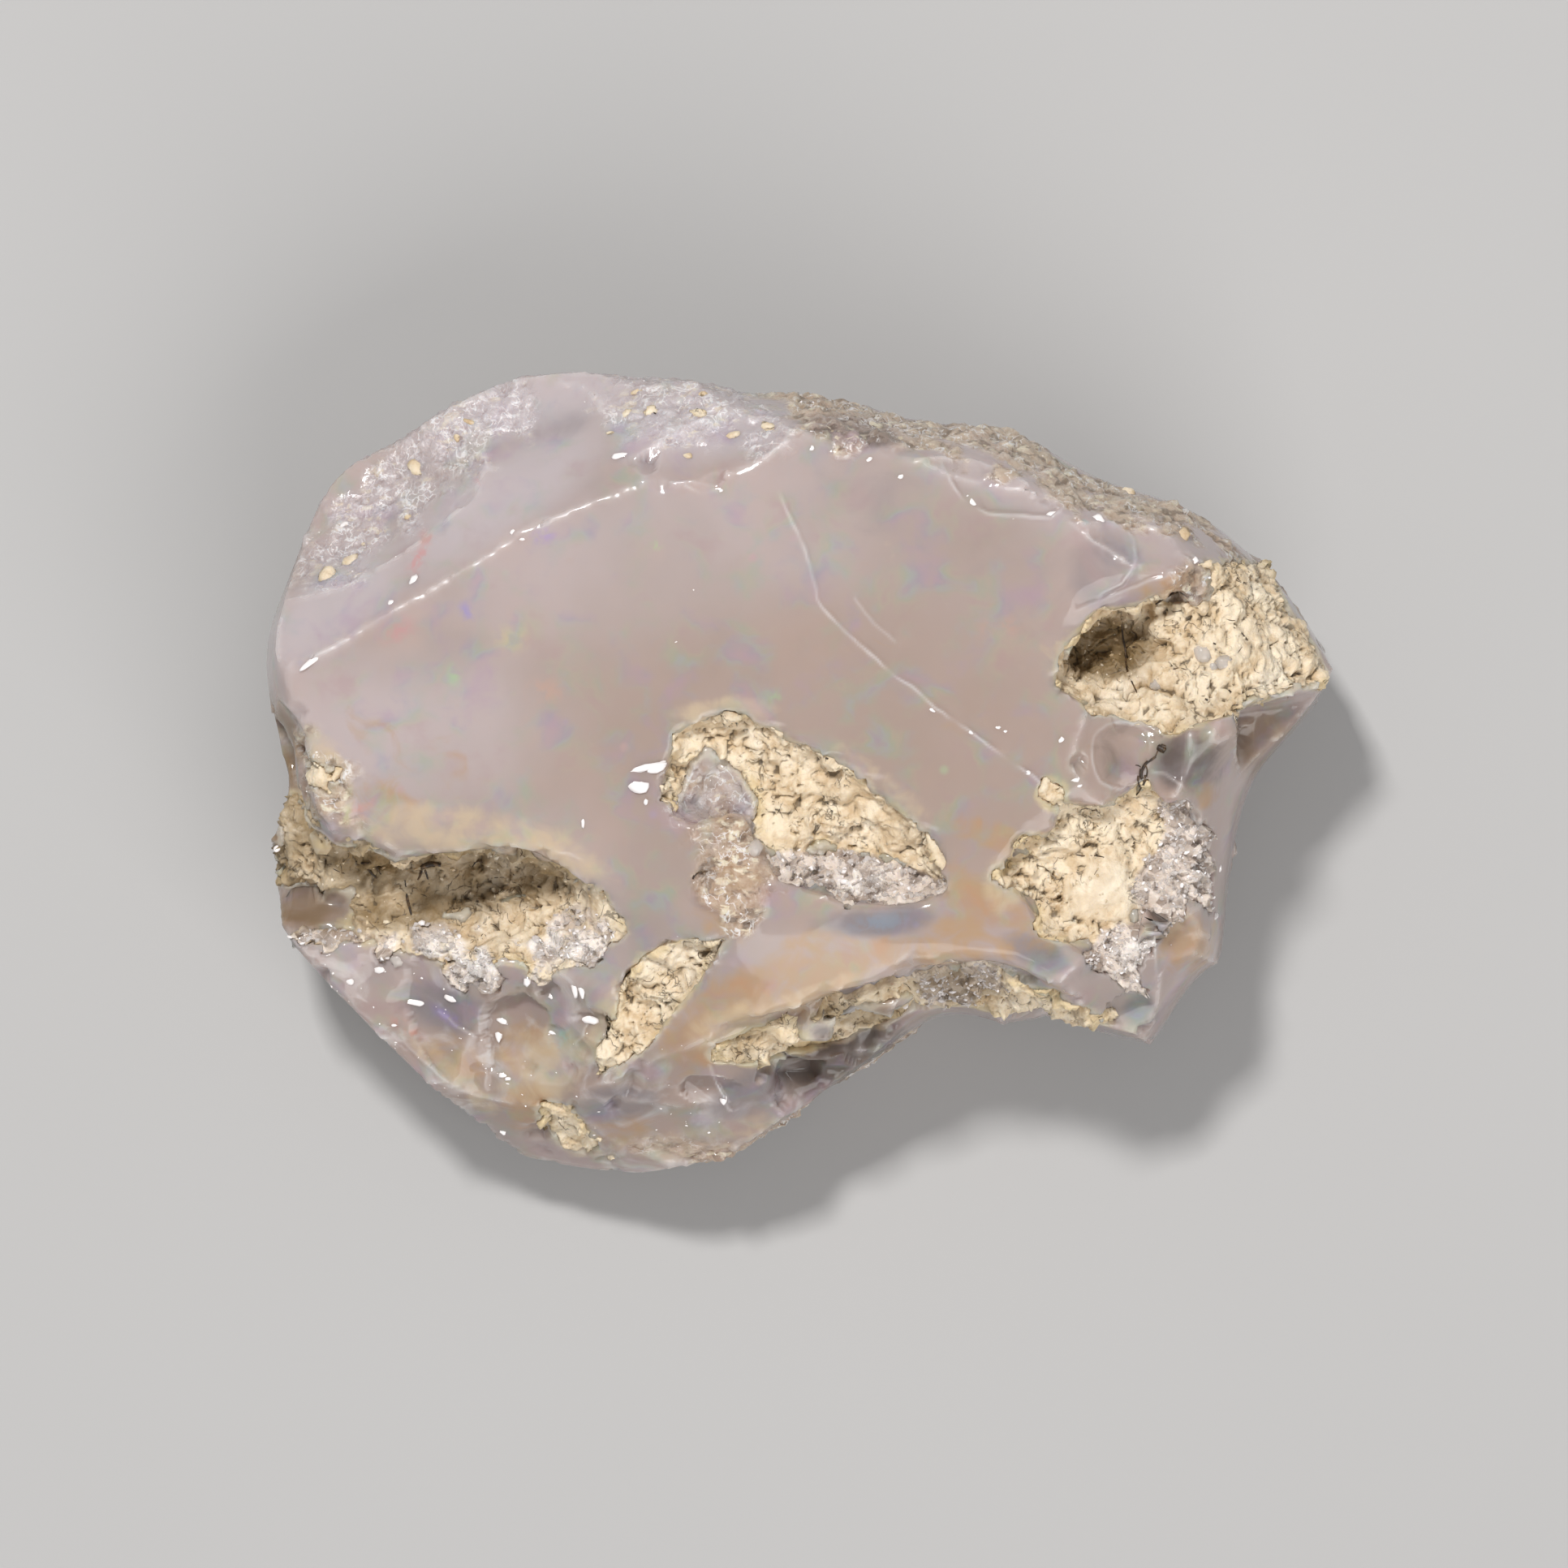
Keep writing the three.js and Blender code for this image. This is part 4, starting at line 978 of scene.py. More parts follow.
    def bump(self, height: Socket, depth: float, below: Socket | None = None) -> Socket:
        """Fine relief.

        Args:
            height: its pattern, from 0 to 1.
            depth: how high 1 is, in millimetres.
            below: coarser relief that it lies on.

        Returns:
            The normal.
        """
        inputs: dict[str | int, object] = {"Height": height, "Distance": depth * MM}
        if below is not None:
            inputs["Normal"] = below
        return self.add("ShaderNodeBump", inputs).outputs[0]

    def finish(self, inputs: dict[str | int, object]) -> bpy.types.Material:
        """Completes the material.

        Args:
            inputs: what the shader's sockets are linked or set to.

        Returns:
            The material.
        """
        for socket, value in inputs.items():
            self.set(self.shader, socket, value)
        return self.material


@dataclass(frozen=True)
class OpalFinish:
    """Milky, glossy opal: cloudy colours that lie in it, frosted where it is crushed, with painted highlights on
    its ridges, cracks and crust, and painted light and shade in places.
    """

    milky: Colour = colour(184, 168, 164)
    greyer: Colour = colour(171, 156, 149)
    peach: Colour = colour(192, 166, 152)
    tan: Colour = colour(184, 151, 112)
    orange: Colour = colour(190, 146, 104)
    blue: Colour = colour(114, 114, 124)
    halo: Colour = colour(208, 187, 150)
    # Darker opal, and the painted shadow on the low southern layer.
    dark: Colour = colour(92, 78, 68)
    # Brown stain, and painted shade on the groove's wall under its lip and in the eastern hollow.
    stain_and_shade: Colour = colour(132, 108, 78)
    # Paler opal, and painted light on the north-western bevel and the north-eastern band.
    pale: Colour = colour(201, 191, 193)
    beige: Colour = colour(170, 149, 136)
    buried: Colour = colour(209, 188, 158)
    haze: Colour = colour(206, 190, 168)
    veil: Colour = colour(214, 206, 202)
    frost: Colour = colour(208, 198, 200)
    crust: Colour = colour(185, 159, 134)
    cream: Colour = colour(232, 219, 194)
    # Colour of the painted crescent highlights.
    white: Colour = colour(240, 236, 234)
    roughness: float = 0.11
    flashes: tuple[Flash, ...] = FLASHES
    fire: float = 0.38
    scatter: Triple = (1.0, 0.82, 0.7)
    scatter_scale: float = 1.1
    index: float = 1.45

    def _clouds(self, bench: Bench, tint: Tint, size: float, spread: float) -> Socket:
        """How much of a tint shows, with feathery edges.

        Args:
            bench: the material's bench.
            tint: the tint.
            size: how large the feathers are, in millimetres.
            spread: how far they break the cloud up.

        Returns:
            The share, from 0 to 1.
        """
        feather = bench.sum(bench.noise(size, 5, 0.9, 3 * size), -0.5)
        broken = bench.sum(bench.field(tint.value), bench.product(feather, spread))
        return bench.ramp(broken, 0.3, 1.15)

    def _edge_wear_and_sheen(self, bench: Bench) -> Socket:
        """How dull the stone's edges are and how strong a pale painted highlight along them is, in patches."""
        return bench.product(bench.field("edge"), bench.ramp(bench.noise(0.8, 4, 0.3, 73), 0.36, 0.6, 0.1, 1.0))

    def _body(self, bench: Bench, worn: Socket) -> Socket:
        """Mixes the opal's own colour, with what lies in it and the painted light, shade and highlights laid over
        it.

        Args:
            bench: the material's bench.
            worn: how worn the edges are, and how strong the pale painted highlight along them is.

        Returns:
            The colour.
        """
        veils = bench.ramp(bench.noise(1.3, 5, 1.2, 61), 0.48, 0.68)
        ochre = bench.mix(bench.ramp(bench.noise(0.7, 4, 0.5, 5), 0.5, 0.75), self.tan, self.orange)
        clouds = (
            (Tint.BLUE, self.blue, 1.6, 1.0, 0.62),
            (Tint.DARK, self.dark, 0.9, 1.2, 0.8),
            (Tint.TAN, ochre, 0.9, 2.2, 0.72),
            (Tint.CREAM, self.buried, 0.7, 1.3, 0.7),
            (Tint.HALO, self.halo, 0.6, 1.8, 0.55),
        )
        ragged = bench.sum(bench.field("haze"), bench.product(bench.sum(bench.noise(0.5, 4, 0.4, 71), -0.5), 1.4))
        hazy = bench.mix(bench.ramp(bench.noise(1.4, 3, 0.4, 57), 0.45, 0.6), self.haze, self.halo)
        return bench.layers(
            bench.mix(bench.ramp(bench.noise(4.5, 3, 0.4), 0.35, 0.65), self.milky, self.greyer),
            (bench.ramp(bench.noise(2.4, 3, 0.5, 11), 0.5, 0.8, 0, 0.45), self.peach),
            (bench.product(bench.field("beige"), 0.8), self.beige),
            # Pale clouds: paler opal and painted light.
            (bench.product(bench.field("pale"), 0.68), self.pale),
            (bench.product(veils, bench.field("clear"), 0.7), self.veil),
            # Brown stain and painted shade under the groove's lip and in the eastern hollow.
            (bench.product(bench.field("stain_and_shade"), 0.9), self.stain_and_shade),
            *(
                (bench.product(self._clouds(bench, tint, size, spread), share), shade)
                for tint, shade, size, spread, share in clouds
            ),
            (bench.ramp(ragged, 0.25, 0.9, 0, 0.85), hazy),
            # Pale painted highlight along the ridges and the outline.
            (bench.product(worn, 0.4), self.veil),
            # Pale painted highlight along the crest of each fine crack.
            (bench.product(bench.field("crest_highlight"), 0.7), self.veil),
        )

    def _flecks(self, bench: Bench, base: Socket) -> Socket:
        """Lays faint patches and sparse flecks of pure colour under the surface.

        Args:
            bench: the material's bench.
            base: the colour that they lie in.

        Returns:
            The colour.
        """
        hue = bench.ramp(bench.noise(1.5, 3, 0.4, 91), 0.36, 0.64, 0.0, 0.85)
        glow = bench.add("ShaderNodeCombineColor", {0: hue, 1: 0.34, 2: 0.42}, mode="HSV").outputs[0]
        base = bench.mix(bench.ramp(bench.noise(0.9, 3, 0.3, 37), 0.42, 0.75, 0, 0.36), base, glow)
        cells = bench.cells(1.1)
        spot = bench.ramp(cells.outputs["Distance"], 0.16, 0.03)
        rare = bench.ramp(bench.noise(2.4, 2, 0, 31), 0.5, 0.62)
        hue = bench.add("ShaderNodeSeparateColor", {0: cells.outputs["Color"]}).outputs[0]
        shade = bench.add("ShaderNodeCombineColor", {0: hue, 1: 0.45, 2: 0.6}, mode="HSV").outputs[0]
        base = bench.mix(bench.product(spot, rare, 0.3), base, shade)
        torn = bench.ramp(bench.noise(0.3, 4, 0.5, 15), 0.38, 0.62)
        for flash in self.flashes:
            tint = colour(*(round(255 * part) for part in colorsys.hsv_to_rgb(flash.hue, self.fire, 0.84)))
            spot = bench.spot(flash.at, flash.radii, flash.turn, flash.strength)
            base = bench.mix(bench.product(spot, torn), base, tint)
        return base

    def _grains(self, bench: Bench, base: Socket) -> Socket:
        """Makes frosted, crushed and crusted ground paler, with cream specks, thin white arcs that are painted
        highlights, and painted light that lifts the crust where the pale clouds lie.

        Args:
            bench: the material's bench.
            base: the opal's colour.

        Returns:
            The colour.
        """
        frost, crust = bench.field("frost"), bench.field("crust")
        speck = bench.ramp(bench.noise(0.2, 4, 0.3, 17, 1.8), 0.53, 0.64)
        clump = bench.ramp(bench.noise(0.9, 4, 0.3, 23), 0.4, 0.58)
        # Thin white arcs: painted highlights on the granular ground.
        wave = bench.sum(bench.noise(0.42, 3, 0.8, 83), -0.5)
        crescent_highlight = bench.ramp(bench.sum(wave, 0.0, operation="ABSOLUTE"), 0.03, 0.008)
        crescent_highlight = bench.product(crescent_highlight, bench.ramp(bench.noise(0.8, 3, 0.2, 47), 0.42, 0.56))
        bare = bench.ramp(bench.field("dark"), 0.2, 0.9, 0.75, 0.2)
        # Painted light: the pale clouds lift the crust of the north-eastern band where its slopes lie in shade.
        light = bench.field("pale")
        crumbly = bench.sum(clump, bench.product(light, 0.8), operation="MAXIMUM")
        dusk = bench.ramp(bench.noise(0.3, 4, 0.4, 27, 1.6), 0.52, 0.62)
        return bench.layers(
            base,
            (bench.product(frost, 0.32), self.frost),
            (bench.product(frost, speck, clump, 0.5), self.cream),
            (bench.product(crust, bare), bench.mix(bench.product(light, 0.5), self.crust, self.cream)),
            (bench.product(crust, dusk, 0.55), self.dark),
            (bench.product(crust, speck, crumbly, 0.85), self.cream),
            (bench.product(bench.sum(frost, crust), crescent_highlight, 0.7), self.white),
        )

    def make(self) -> bpy.types.Material:
        """Builds the material.

        Returns:
            The material.
        """
        bench = Bench("milky_opal")
        worn = self._edge_wear_and_sheen(bench)
        base = self._grains(bench, self._flecks(bench, self._body(bench, worn)))
        rough = bench.sum(bench.field("frost"), bench.field("crust"))
        matt = bench.sum(bench.ramp(rough, 0, 1, self.roughness, 0.3), bench.product(bench.field("clear"), -0.07))
        matt = bench.sum(matt, bench.product(worn, 0.3))
        swell = bench.bump(bench.noise(1.6, 2, 0.5, 41), 0.03)
        grain = bench.product(bench.noise(0.12, 4, 0.4, 3), rough)
        return bench.finish(
            {
                "Base Color": base,
                "Roughness": matt,
                "IOR": self.index,
                "Normal": bench.bump(grain, 0.05, swell),
                "Subsurface Weight": 0.75,
                "Subsurface Radius": self.scatter,
                "Subsurface Scale": self.scatter_scale * MM,
                "Transmission Weight": bench.ramp(bench.field("clear"), 0, 1, 0.1, 0.2),
            }
        )


@dataclass(frozen=True)
class HostRockFinish:
    """Chalky, crumbling host rock, brown in its cracks, olive with stain and painted shade in its hollows,
    lighter on its tops with wear and painted highlights, and the sugary crushed opal between its lumps."""

    cream: Colour = colour(208, 184, 150)
    chalk: Colour = colour(228, 211, 184)
    white: Colour = colour(238, 227, 208)
    buff: Colour = colour(190, 161, 122)
    olive: Colour = colour(130, 107, 71)
    umber: Colour = colour(62, 48, 32)
    yellow: Colour = colour(208, 184, 138)
    sugar: Colour = colour(165, 147, 134)
    snow: Colour = colour(232, 217, 204)
    clear: Colour = colour(130, 114, 104)
    brightest: Colour = colour(250, 244, 238)
    splinter: float = 0.3
    scatter: Triple = (1.0, 0.8, 0.5)
    scatter_scale: float = 0.15

    def _seams(self, bench: Bench, size: float, width: float, offset: float) -> Socket:
        """Draws short, thin, wandering cracks.

        Args:
            bench: the material's bench.
            size: how far apart they are, in millimetres.
            width: half the width of noise values that a crack takes up.
            offset: another number gives other cracks.

        Returns:
            The share of crack, from 0 to 1.
        """
        wave = bench.sum(bench.noise(size, 4, 0.6, offset), -0.5)
        line = bench.ramp(bench.sum(wave, 0.0, operation="ABSOLUTE"), width, 0.3 * width)
        return bench.product(line, bench.ramp(bench.noise(0.9, 3, 0, offset + 7), 0.56, 0.64))

    def _rock(self, bench: Bench, seams: Socket) -> Socket:
        """Mixes the rock's colour, with olive stain and painted shade in its hollows and painted highlights on its
        tops.

        Args:
            bench: the material's bench.
            seams: where its cracks are.

        Returns:
            The colour.
        """
        cavity_stain_and_shade = bench.field("cavity_stain_and_shade")
        yellowed = bench.ramp(bench.noise(1.6, 4, 0.4, 3), 0.45, 0.62)
        speck = bench.ramp(bench.noise(0.16, 3, 0.2, 29), 0.71, 0.76)
        return bench.layers(
            bench.mix(bench.ramp(bench.noise(0.9, 5, 0.6), 0.42, 0.58), self.cream, self.chalk),
            (bench.ramp(bench.noise(1.3, 4, 0.5, 33), 0.52, 0.66, 0, 0.55), self.white),
            (bench.ramp(bench.noise(0.5, 5, 0.7, 9), 0.5, 0.68, 0, 0.6), self.buff),
            # Painted highlight on the rock's tops, with chalky wear.
            (bench.product(bench.field("peak_wear_and_highlight"), 0.5), self.chalk),
            (bench.product(bench.field("rim"), yellowed, 0.7), self.yellow),
            # Olive stain and painted shade in the hollows.
            (bench.product(bench.ramp(cavity_stain_and_shade, 0.35, 1.0), 0.55), self.olive),
            # Olive stain and painted shade on the groove's wall, in the eastern hollow and on the ledge.
            (bench.product(bench.field("stain_and_shade"), 0.95), self.olive),
            (bench.product(seams, 0.6), self.umber),
            (bench.product(speck, 0.45), self.umber),
            # Painted shade deep in the hollows.
            (bench.ramp(cavity_stain_and_shade, 0.85, 1.0, 0, 0.6), self.umber),
            (bench.product(bench.field("lump"), 0.3), self.white),
        )

    def _splinters(self, bench: Bench) -> Socket:
        """Mixes the crushed opal's colour: clear, milky and white splinters.

        Args:
            bench: the material's bench.

        Returns:
            The colour.
        """
        split = bench.add("ShaderNodeSeparateColor", {0: bench.cells(self.splinter).outputs["Color"]})
        rim = bench.cells(self.splinter, "DISTANCE_TO_EDGE").outputs["Distance"]
        blotch = bench.ramp(bench.noise(0.7, 4, 0.5, 35), 0.4, 0.6, 0.1, 0.75)
        return bench.layers(
            bench.mix(bench.ramp(split.outputs[0], 0.2, 0.8), self.sugar, self.snow),
            (bench.ramp(split.outputs[1], 0.68, 0.78, 0, 0.7), self.clear),
            (bench.ramp(bench.noise(1.1, 3, 0.4, 13), 0.48, 0.62, 0, 0.75), self.snow),
            (bench.product(bench.ramp(rim, 0.05, 0.0), 0.5), self.snow),
            (bench.product(bench.field("white"), blotch), self.brightest),
        )

    def make(self) -> bpy.types.Material:
        """Builds the material.

        Returns:
            The material.
        """
        bench = Bench("host_rock")
        crushed = bench.field("crushed")
        wide, fine = self._seams(bench, 0.8, 0.014, 19), self._seams(bench, 0.45, 0.018, 51)
        seams = bench.sum(wide, fine, operation="MAXIMUM")
        broken = self._splinters(bench)
        # The crushed opal in the groove is darkened the same way, with stain and painted shade.
        stained_and_shaded = bench.mix(bench.product(bench.field("stain_and_shade"), 0.85), broken, self.olive)
        crumble = bench.bump(bench.noise(0.16, 5, 0.5, 2), 0.04)
        crazed = bench.bump(bench.product(seams, -1.0), 0.03, crumble)
        dull = bench.ramp(bench.noise(0.5, 3, 0, 12), 0.3, 0.7, 0.36, 0.7)
        return bench.finish(
            {
                "Base Color": bench.mix(crushed, self._rock(bench, seams), stained_and_shaded),
                "Roughness": bench.sum(dull, bench.product(crushed, -0.3)),
                "Normal": bench.bump(bench.noise(0.05, 3, 0, 5), 0.015, crazed),
                "Subsurface Weight": 0.25,
                "Subsurface Radius": self.scatter,
                "Subsurface Scale": self.scatter_scale * MM,
                "Transmission Weight": bench.product(crushed, 0.1),
            }
        )


@dataclass(frozen=True)
class GrainFinish:
    """Small grains of opal: clear ones, or ones painted near-white as glints where they catch the light."""

    name: str = "clear_grains"
    glass: Colour = colour(240, 234, 230)
    milky: Colour = colour(208, 196, 188)
    roughness: float = 0.07
    clearness: float = 0.35

    def make(self) -> bpy.types.Material:
        """Builds the material.

        Returns:
            The material.
        """
        bench = Bench(self.name)
        base = bench.mix(bench.noise(0.4), self.glass, self.milky)
        inputs = {"Base Color": base, "Roughness": self.roughness, "IOR": 1.45}
        return bench.finish({**inputs, "Transmission Weight": self.clearness})


@dataclass(frozen=True)
class ThreadFinish:
    """Dark brown roots, moss and specks."""

    bark: Colour = colour(46, 34, 22)
    worn: Colour = colour(104, 78, 48)

    def make(self) -> bpy.types.Material:
        """Builds the material.

        Returns:
            The material.
        """
        bench = Bench("dark_threads")
        base = bench.mix(bench.ramp(bench.noise(0.12, 3), 0.45, 0.7), self.bark, self.worn)
        return bench.finish({"Base Color": base, "Roughness": 0.5, "Normal": bench.bump(bench.noise(0.05), 0.01)})


@dataclass(frozen=True)
class GroundMap:
    """Where each kind of ground lies on the stone."""

    patches: tuple[Patch, ...] = PATCHES
    pockets: tuple[Pocket, ...] = POCKETS
    # Darker spots: painted shade on the ledge under its lip, and a darker patch at the eastern step.
    dark_spots: tuple[tuple[Point, Point, float], ...] = (
        ((4.0, -5.35), (1.2, 0.45), 0.75), ((1.6, -6.1), (1.6, 0.3), 0.6), ((12.1, 0.7), (1.4, 1.0), 0.75),
        ((-1.4, -6.8), (0.4, 0.6), 0.5),
    )
    # The eastern pit's upper-left hollow, which this field darkens as painted shade under its rim.
    hollow: tuple[Point, Point] = ((7.7, 3.1), (1.2, 0.8))

    def _skin_of_crust(self, points: Array) -> Array:
        """Thin crust that is left in places on the sides and the underside."""
        patchy = ramp(RELIEF.fractal(points, 3.4, 4, salt=60), 0.22, 0.42)
        return patchy * fade(points[:, 2], 3.8, 4.6)

    def shares(self, points: Array) -> dict[Ground, Array]:
        """Finds the ground. A later patch covers an earlier one.

        Args:
            points: where.

        Returns:
            How much of each kind of ground each point has.
        """
        shares = {kind: np.zeros(len(points)) for kind in Ground}
        shares[Ground.OPAL] += 1
        covers = [(pocket.share(points), Ground.ROCK) for pocket in self.pockets]
        covers += [(patch.share(points), patch.ground) for patch in self.patches]
        covers.append((self._skin_of_crust(points), Ground.CRUST))
        for cover, ground in covers:
            for kind in Ground:
                shares[kind] *= 1 - cover
            shares[ground] += cover
        return shares

    def crust(self, points: Array) -> tuple[Array, Array]:
        """Finds the crust of rock and crushed opal.

        Args:
            points: where.

        Returns:
            How much of it each point has, and how much of that is crushed opal.
        """
        shares = self.shares(points)
        total = shares[Ground.ROCK] + shares[Ground.GLITTER]
        return total, shares[Ground.GLITTER] / np.maximum(total, 1e-6)

    def stain_and_shade(self, points: Array) -> Array:
        """Finds the brown stain and the painted shade on the groove's wall under its lip, the painted shade in the
        eastern hollow, the painted shade along the ledge under its lip, and a darker spot at the eastern step.

        Args:
            points: where.

        Returns:
            How far each point is stained and shaded, from 0 to 1.
        """
        x, y, z = points.T
        wall = inside_distance(points[:, :2], GROOVE)
        south = fade(y, -4.3, -3.75) * fade(x, -7.0, -5.4)
        # Painted shade under the groove's lip, mottled like a stain, and painted shade in the eastern hollow.
        shade = ramp(wall, -0.5, 0.1) * (1 - south) * fade(x, -5.2, -4.6)
        hollow = fade(ellipse_distance(points, *self.hollow), 0.7, 1.25)
        mottled = 0.72 + 0.5 * RELIEF.fractal(points, 1.3, 3, salt=66)
        dark = np.maximum(mottled * shade, hollow) * fade(z, 7.6, 8.3)
        for at, radii, strength in self.dark_spots:
            dark = np.maximum(dark, strength * fade(ellipse_distance(points, at, radii), 0.6, 1.3))
        return np.clip(dark, 0, 1)


def refine_round(shape: Shape, wanted: Array) -> None:
    """Splits the faces round the wanted points once each way."""
    shape.verts.ensure_lookup_table()
    refine(shape, {face for i in np.flatnonzero(wanted) for face in shape.verts[i].link_faces}, 1)


def write_fields(mesh: bpy.types.Mesh, fields: dict[str, Array]) -> None:
    """Stores numbers at the mesh's points, where the finishes read them.

    Args:
        mesh: the mesh.
        fields: a number for each point, under the name that a finish asks for.
    """
    for name, values in fields.items():
        attribute = mesh.attributes.new(name, "FLOAT", "POINT")
        attribute.data.foreach_set("value", values.astype(np.float32))


def refine(shape: Shape, faces: Iterable[bmesh.types.BMFace], cuts: int) -> None:
    """Splits faces by so many cuts each way, and mends the seam to the faces round them."""
    edges = list({edge for face in faces for edge in face.edges})
    bmesh.ops.subdivide_edges(shape, edges=edges, cuts=cuts, use_grid_fill=True)


def finished(name: str, shape: Shape) -> bpy.types.Mesh:
    """Makes a mesh of a shape that is done.

    Args:
        name: the mesh's name.
        shape: the shape, which is given up.

    Returns:
        The mesh.
    """
    mesh = bpy.data.meshes.new(name)
    shape.to_mesh(mesh)
    shape.free()
    return mesh


def show(name: str, data: bpy.types.ID) -> bpy.types.Object:
    """Puts something into the scene.

    Args:
        name: its name.
        data: its mesh, light or camera.

    Returns:
        Its object.
    """
    shown = bpy.data.objects.new(name, data)
    bpy.context.scene.collection.objects.link(shown)
    return shown


def place(name: str, mesh: bpy.types.Mesh, replaces: bool = False) -> bpy.types.Object:
    """Puts a mesh that is in millimetres into the scene, as a piece of the stone.

    Args:
        name: the piece's name.
        mesh: its mesh.
        replaces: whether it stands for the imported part.

    Returns:
        The piece.
    """
    mesh.transform(Matrix.Scale(MM, 4))
    mesh.name = name
    piece = show(name, mesh)
    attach(piece, BODY)
    if replaces:
        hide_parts(CAD_NODE)
    return piece


@dataclass
class OpalStone:
    """The stone itself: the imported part's shape with its facets worn smooth, its ridges kept and
    chipped, and its crust and crushed ground roughened."""

    ground: GroundMap
    cell: float = 0.21
    crease_angle: float = 26.0
    crease_step: float = 0.03
    cracks: tuple[Crack, ...] = CRACKS
    quiet_face: Line = QUIET_FACE
    ridge_keep: tuple[float, float] = (0.12, 0.85)
    soft_rounds: int = 70
    clouds: dict[Tint, tuple[Cloud, ...]] = field(default_factory=lambda: CLOUDS)
    flakes: tuple[Flake, ...] = NAMED_FLAKES
    rim_chips: int = 260
    glass_chips: int = 90
    glass_outline: Line = SOUTH_WEST_GLASS
    rock_depth: float = 0.36
    ridge_reach: float = 0.3
    crack_reach: tuple[float, float] = (0.35, 0.15)
    fine_from: float = 3.6
    face_from: float = 4.5
    level: float = 0.5
    crest: float = 0.04
    edge_width: float = 0.11
    seed: int = 5
    ridges: list[Vector] = field(default_factory=list)

    def _copy(self, cad: bpy.types.Object) -> Shape:
        """Copies the part's mesh in one skin, in millimetres.

        Args:
            cad: the part's object.

        Returns:
            The copy.
        """
        shape = bmesh.new()
        shape.from_mesh(cad.data)
        bmesh.ops.remove_doubles(shape, verts=shape.verts, dist=1e-7)
        bmesh.ops.scale(shape, vec=(1 / MM,) * 3, verts=shape.verts)
        return shape

    def _find_ridges(self, shape: Shape) -> None:
        """Notes points along the edges where two broken surfaces meet, outside the rough ground.

        Args:
            shape: the part's mesh in one skin.
        """
        sharp = math.radians(self.crease_angle)
        found: list[Vector] = []
        for edge in shape.edges:
            if edge.is_manifold and edge.calc_face_angle(0.0) > sharp:
                a, b = (vertex.co for vertex in edge.verts)
                steps = max(1, round((b - a).length / self.crease_step))
                found.extend(a.lerp(b, n / steps) for n in range(steps + 1))
        places = np.array(found)
        ground = self.ground.shares(places)
        smooth = ground[Ground.OPAL] + ground[Ground.FROST] > 0.15
        smooth &= inside_distance(places[:, :2], self.quiet_face) < 0
        self.ridges = [point for point, keep in zip(found, smooth) if keep]

    def _even(self, shape: Shape) -> bpy.types.Mesh:
        """Makes the same shape anew in small even squares.

        Args:
            shape: the shape, which is given up.

        Returns:
            Its new mesh.
        """
        holder = show("even", finished("even", shape))
        remesh = holder.modifiers.new("even", "REMESH")
        remesh.mode = "VOXEL"
        remesh.voxel_size = self.cell
        graph = bpy.context.evaluated_depsgraph_get()
        even = bpy.data.meshes.new_from_object(holder.evaluated_get(graph))
        bpy.data.objects.remove(holder)
        return even

    def _soften(self, skin: Skin, tree: kdtree.KDTree) -> None:
        """Wears the facets smooth, but leaves the ridges.

        Args:
            skin: the surface.
            tree: the ridge points.
        """
        off = distances(tree, skin.points)
        skin.points = skin.spread(skin.points, 0.5 * ramp(off, *self.ridge_keep), self.soft_rounds)
        skin.points = skin.spread(skin.points, 0.4, 3)

    def _sharpen(self, skin: Skin, tree: kdtree.KDTree, reach: float) -> None:
        """Draws the points next to a ridge onto it.

        Args:
            skin: the surface.
            tree: the ridge points.
            reach: how far from a ridge a point may be for that.
        """
        for i, point in enumerate(skin.points):
            near, _, distance = tree.find(point)
            if distance < reach:
                skin.points[i] = near

    def wear(self, cad: bpy.types.Object) -> bpy.types.Mesh:
        """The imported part's shape, worn smooth between its ridges.

        Args:
            cad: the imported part's node.

        Returns:
            A mesh of small even faces, in millimetres.
        """
        shape = self._copy(cad)
        self._find_ridges(shape)
        skin = Skin(self._even(shape))
        tree = search_tree(self.ridges)
        self._soften(skin, tree)
        self._sharpen(skin, tree, 0.45 * self.cell)
        skin.store()
        return skin.mesh

    def _refine_details(self, mesh: bpy.types.Mesh) -> None:
        """Makes the faces finer on rough ground, at ridges and along the cracks in the face.

        Args:
            mesh: the stone's mesh.
        """
        skin = Skin(mesh)
        ground = self.ground.shares(skin.points)
        rough = ground[Ground.CRUST] + ground[Ground.FROST]
        covered = ground[Ground.ROCK] + ground[Ground.GLITTER]
        edge = (covered > 0.02) & (covered < 0.98)
        ridge = distances(search_tree(self.ridges), skin.points) < self.ridge_reach
        crack, top = self._crack_distance(skin.points), skin.normals()[:, 2] > self.level
        glass = inside_distance(skin.points[:, :2], self.glass_outline) > 0
        wanted = (rough > 0.3) | ridge | edge | (glass | (crack < self.crack_reach[0])) & top
        fine = bmesh.new()
        fine.from_mesh(mesh)
        refine_round(fine, wanted & (skin.points[:, 2] > self.fine_from))
        fine.verts.ensure_lookup_table()
        points = np.array([vertex.co for vertex in fine.verts])
        facing = np.array([vertex.normal.z for vertex in fine.verts])
        close = (self._crack_distance(points) < self.crack_reach[1]) & (facing > self.level)
        refine_round(fine, close & (points[:, 2] > self.face_from))
        bmesh.ops.remove_doubles(fine, verts=fine.verts, dist=0.015)
        fine.to_mesh(mesh)
        fine.free()

    def _crack_distance(self, points: Array) -> Array:
        """How far each point is from the nearest crack, seen from above."""
        return np.min([np.abs(side_of_line(points[:, :2], crack.line)[0]) for crack in self.cracks], axis=0)

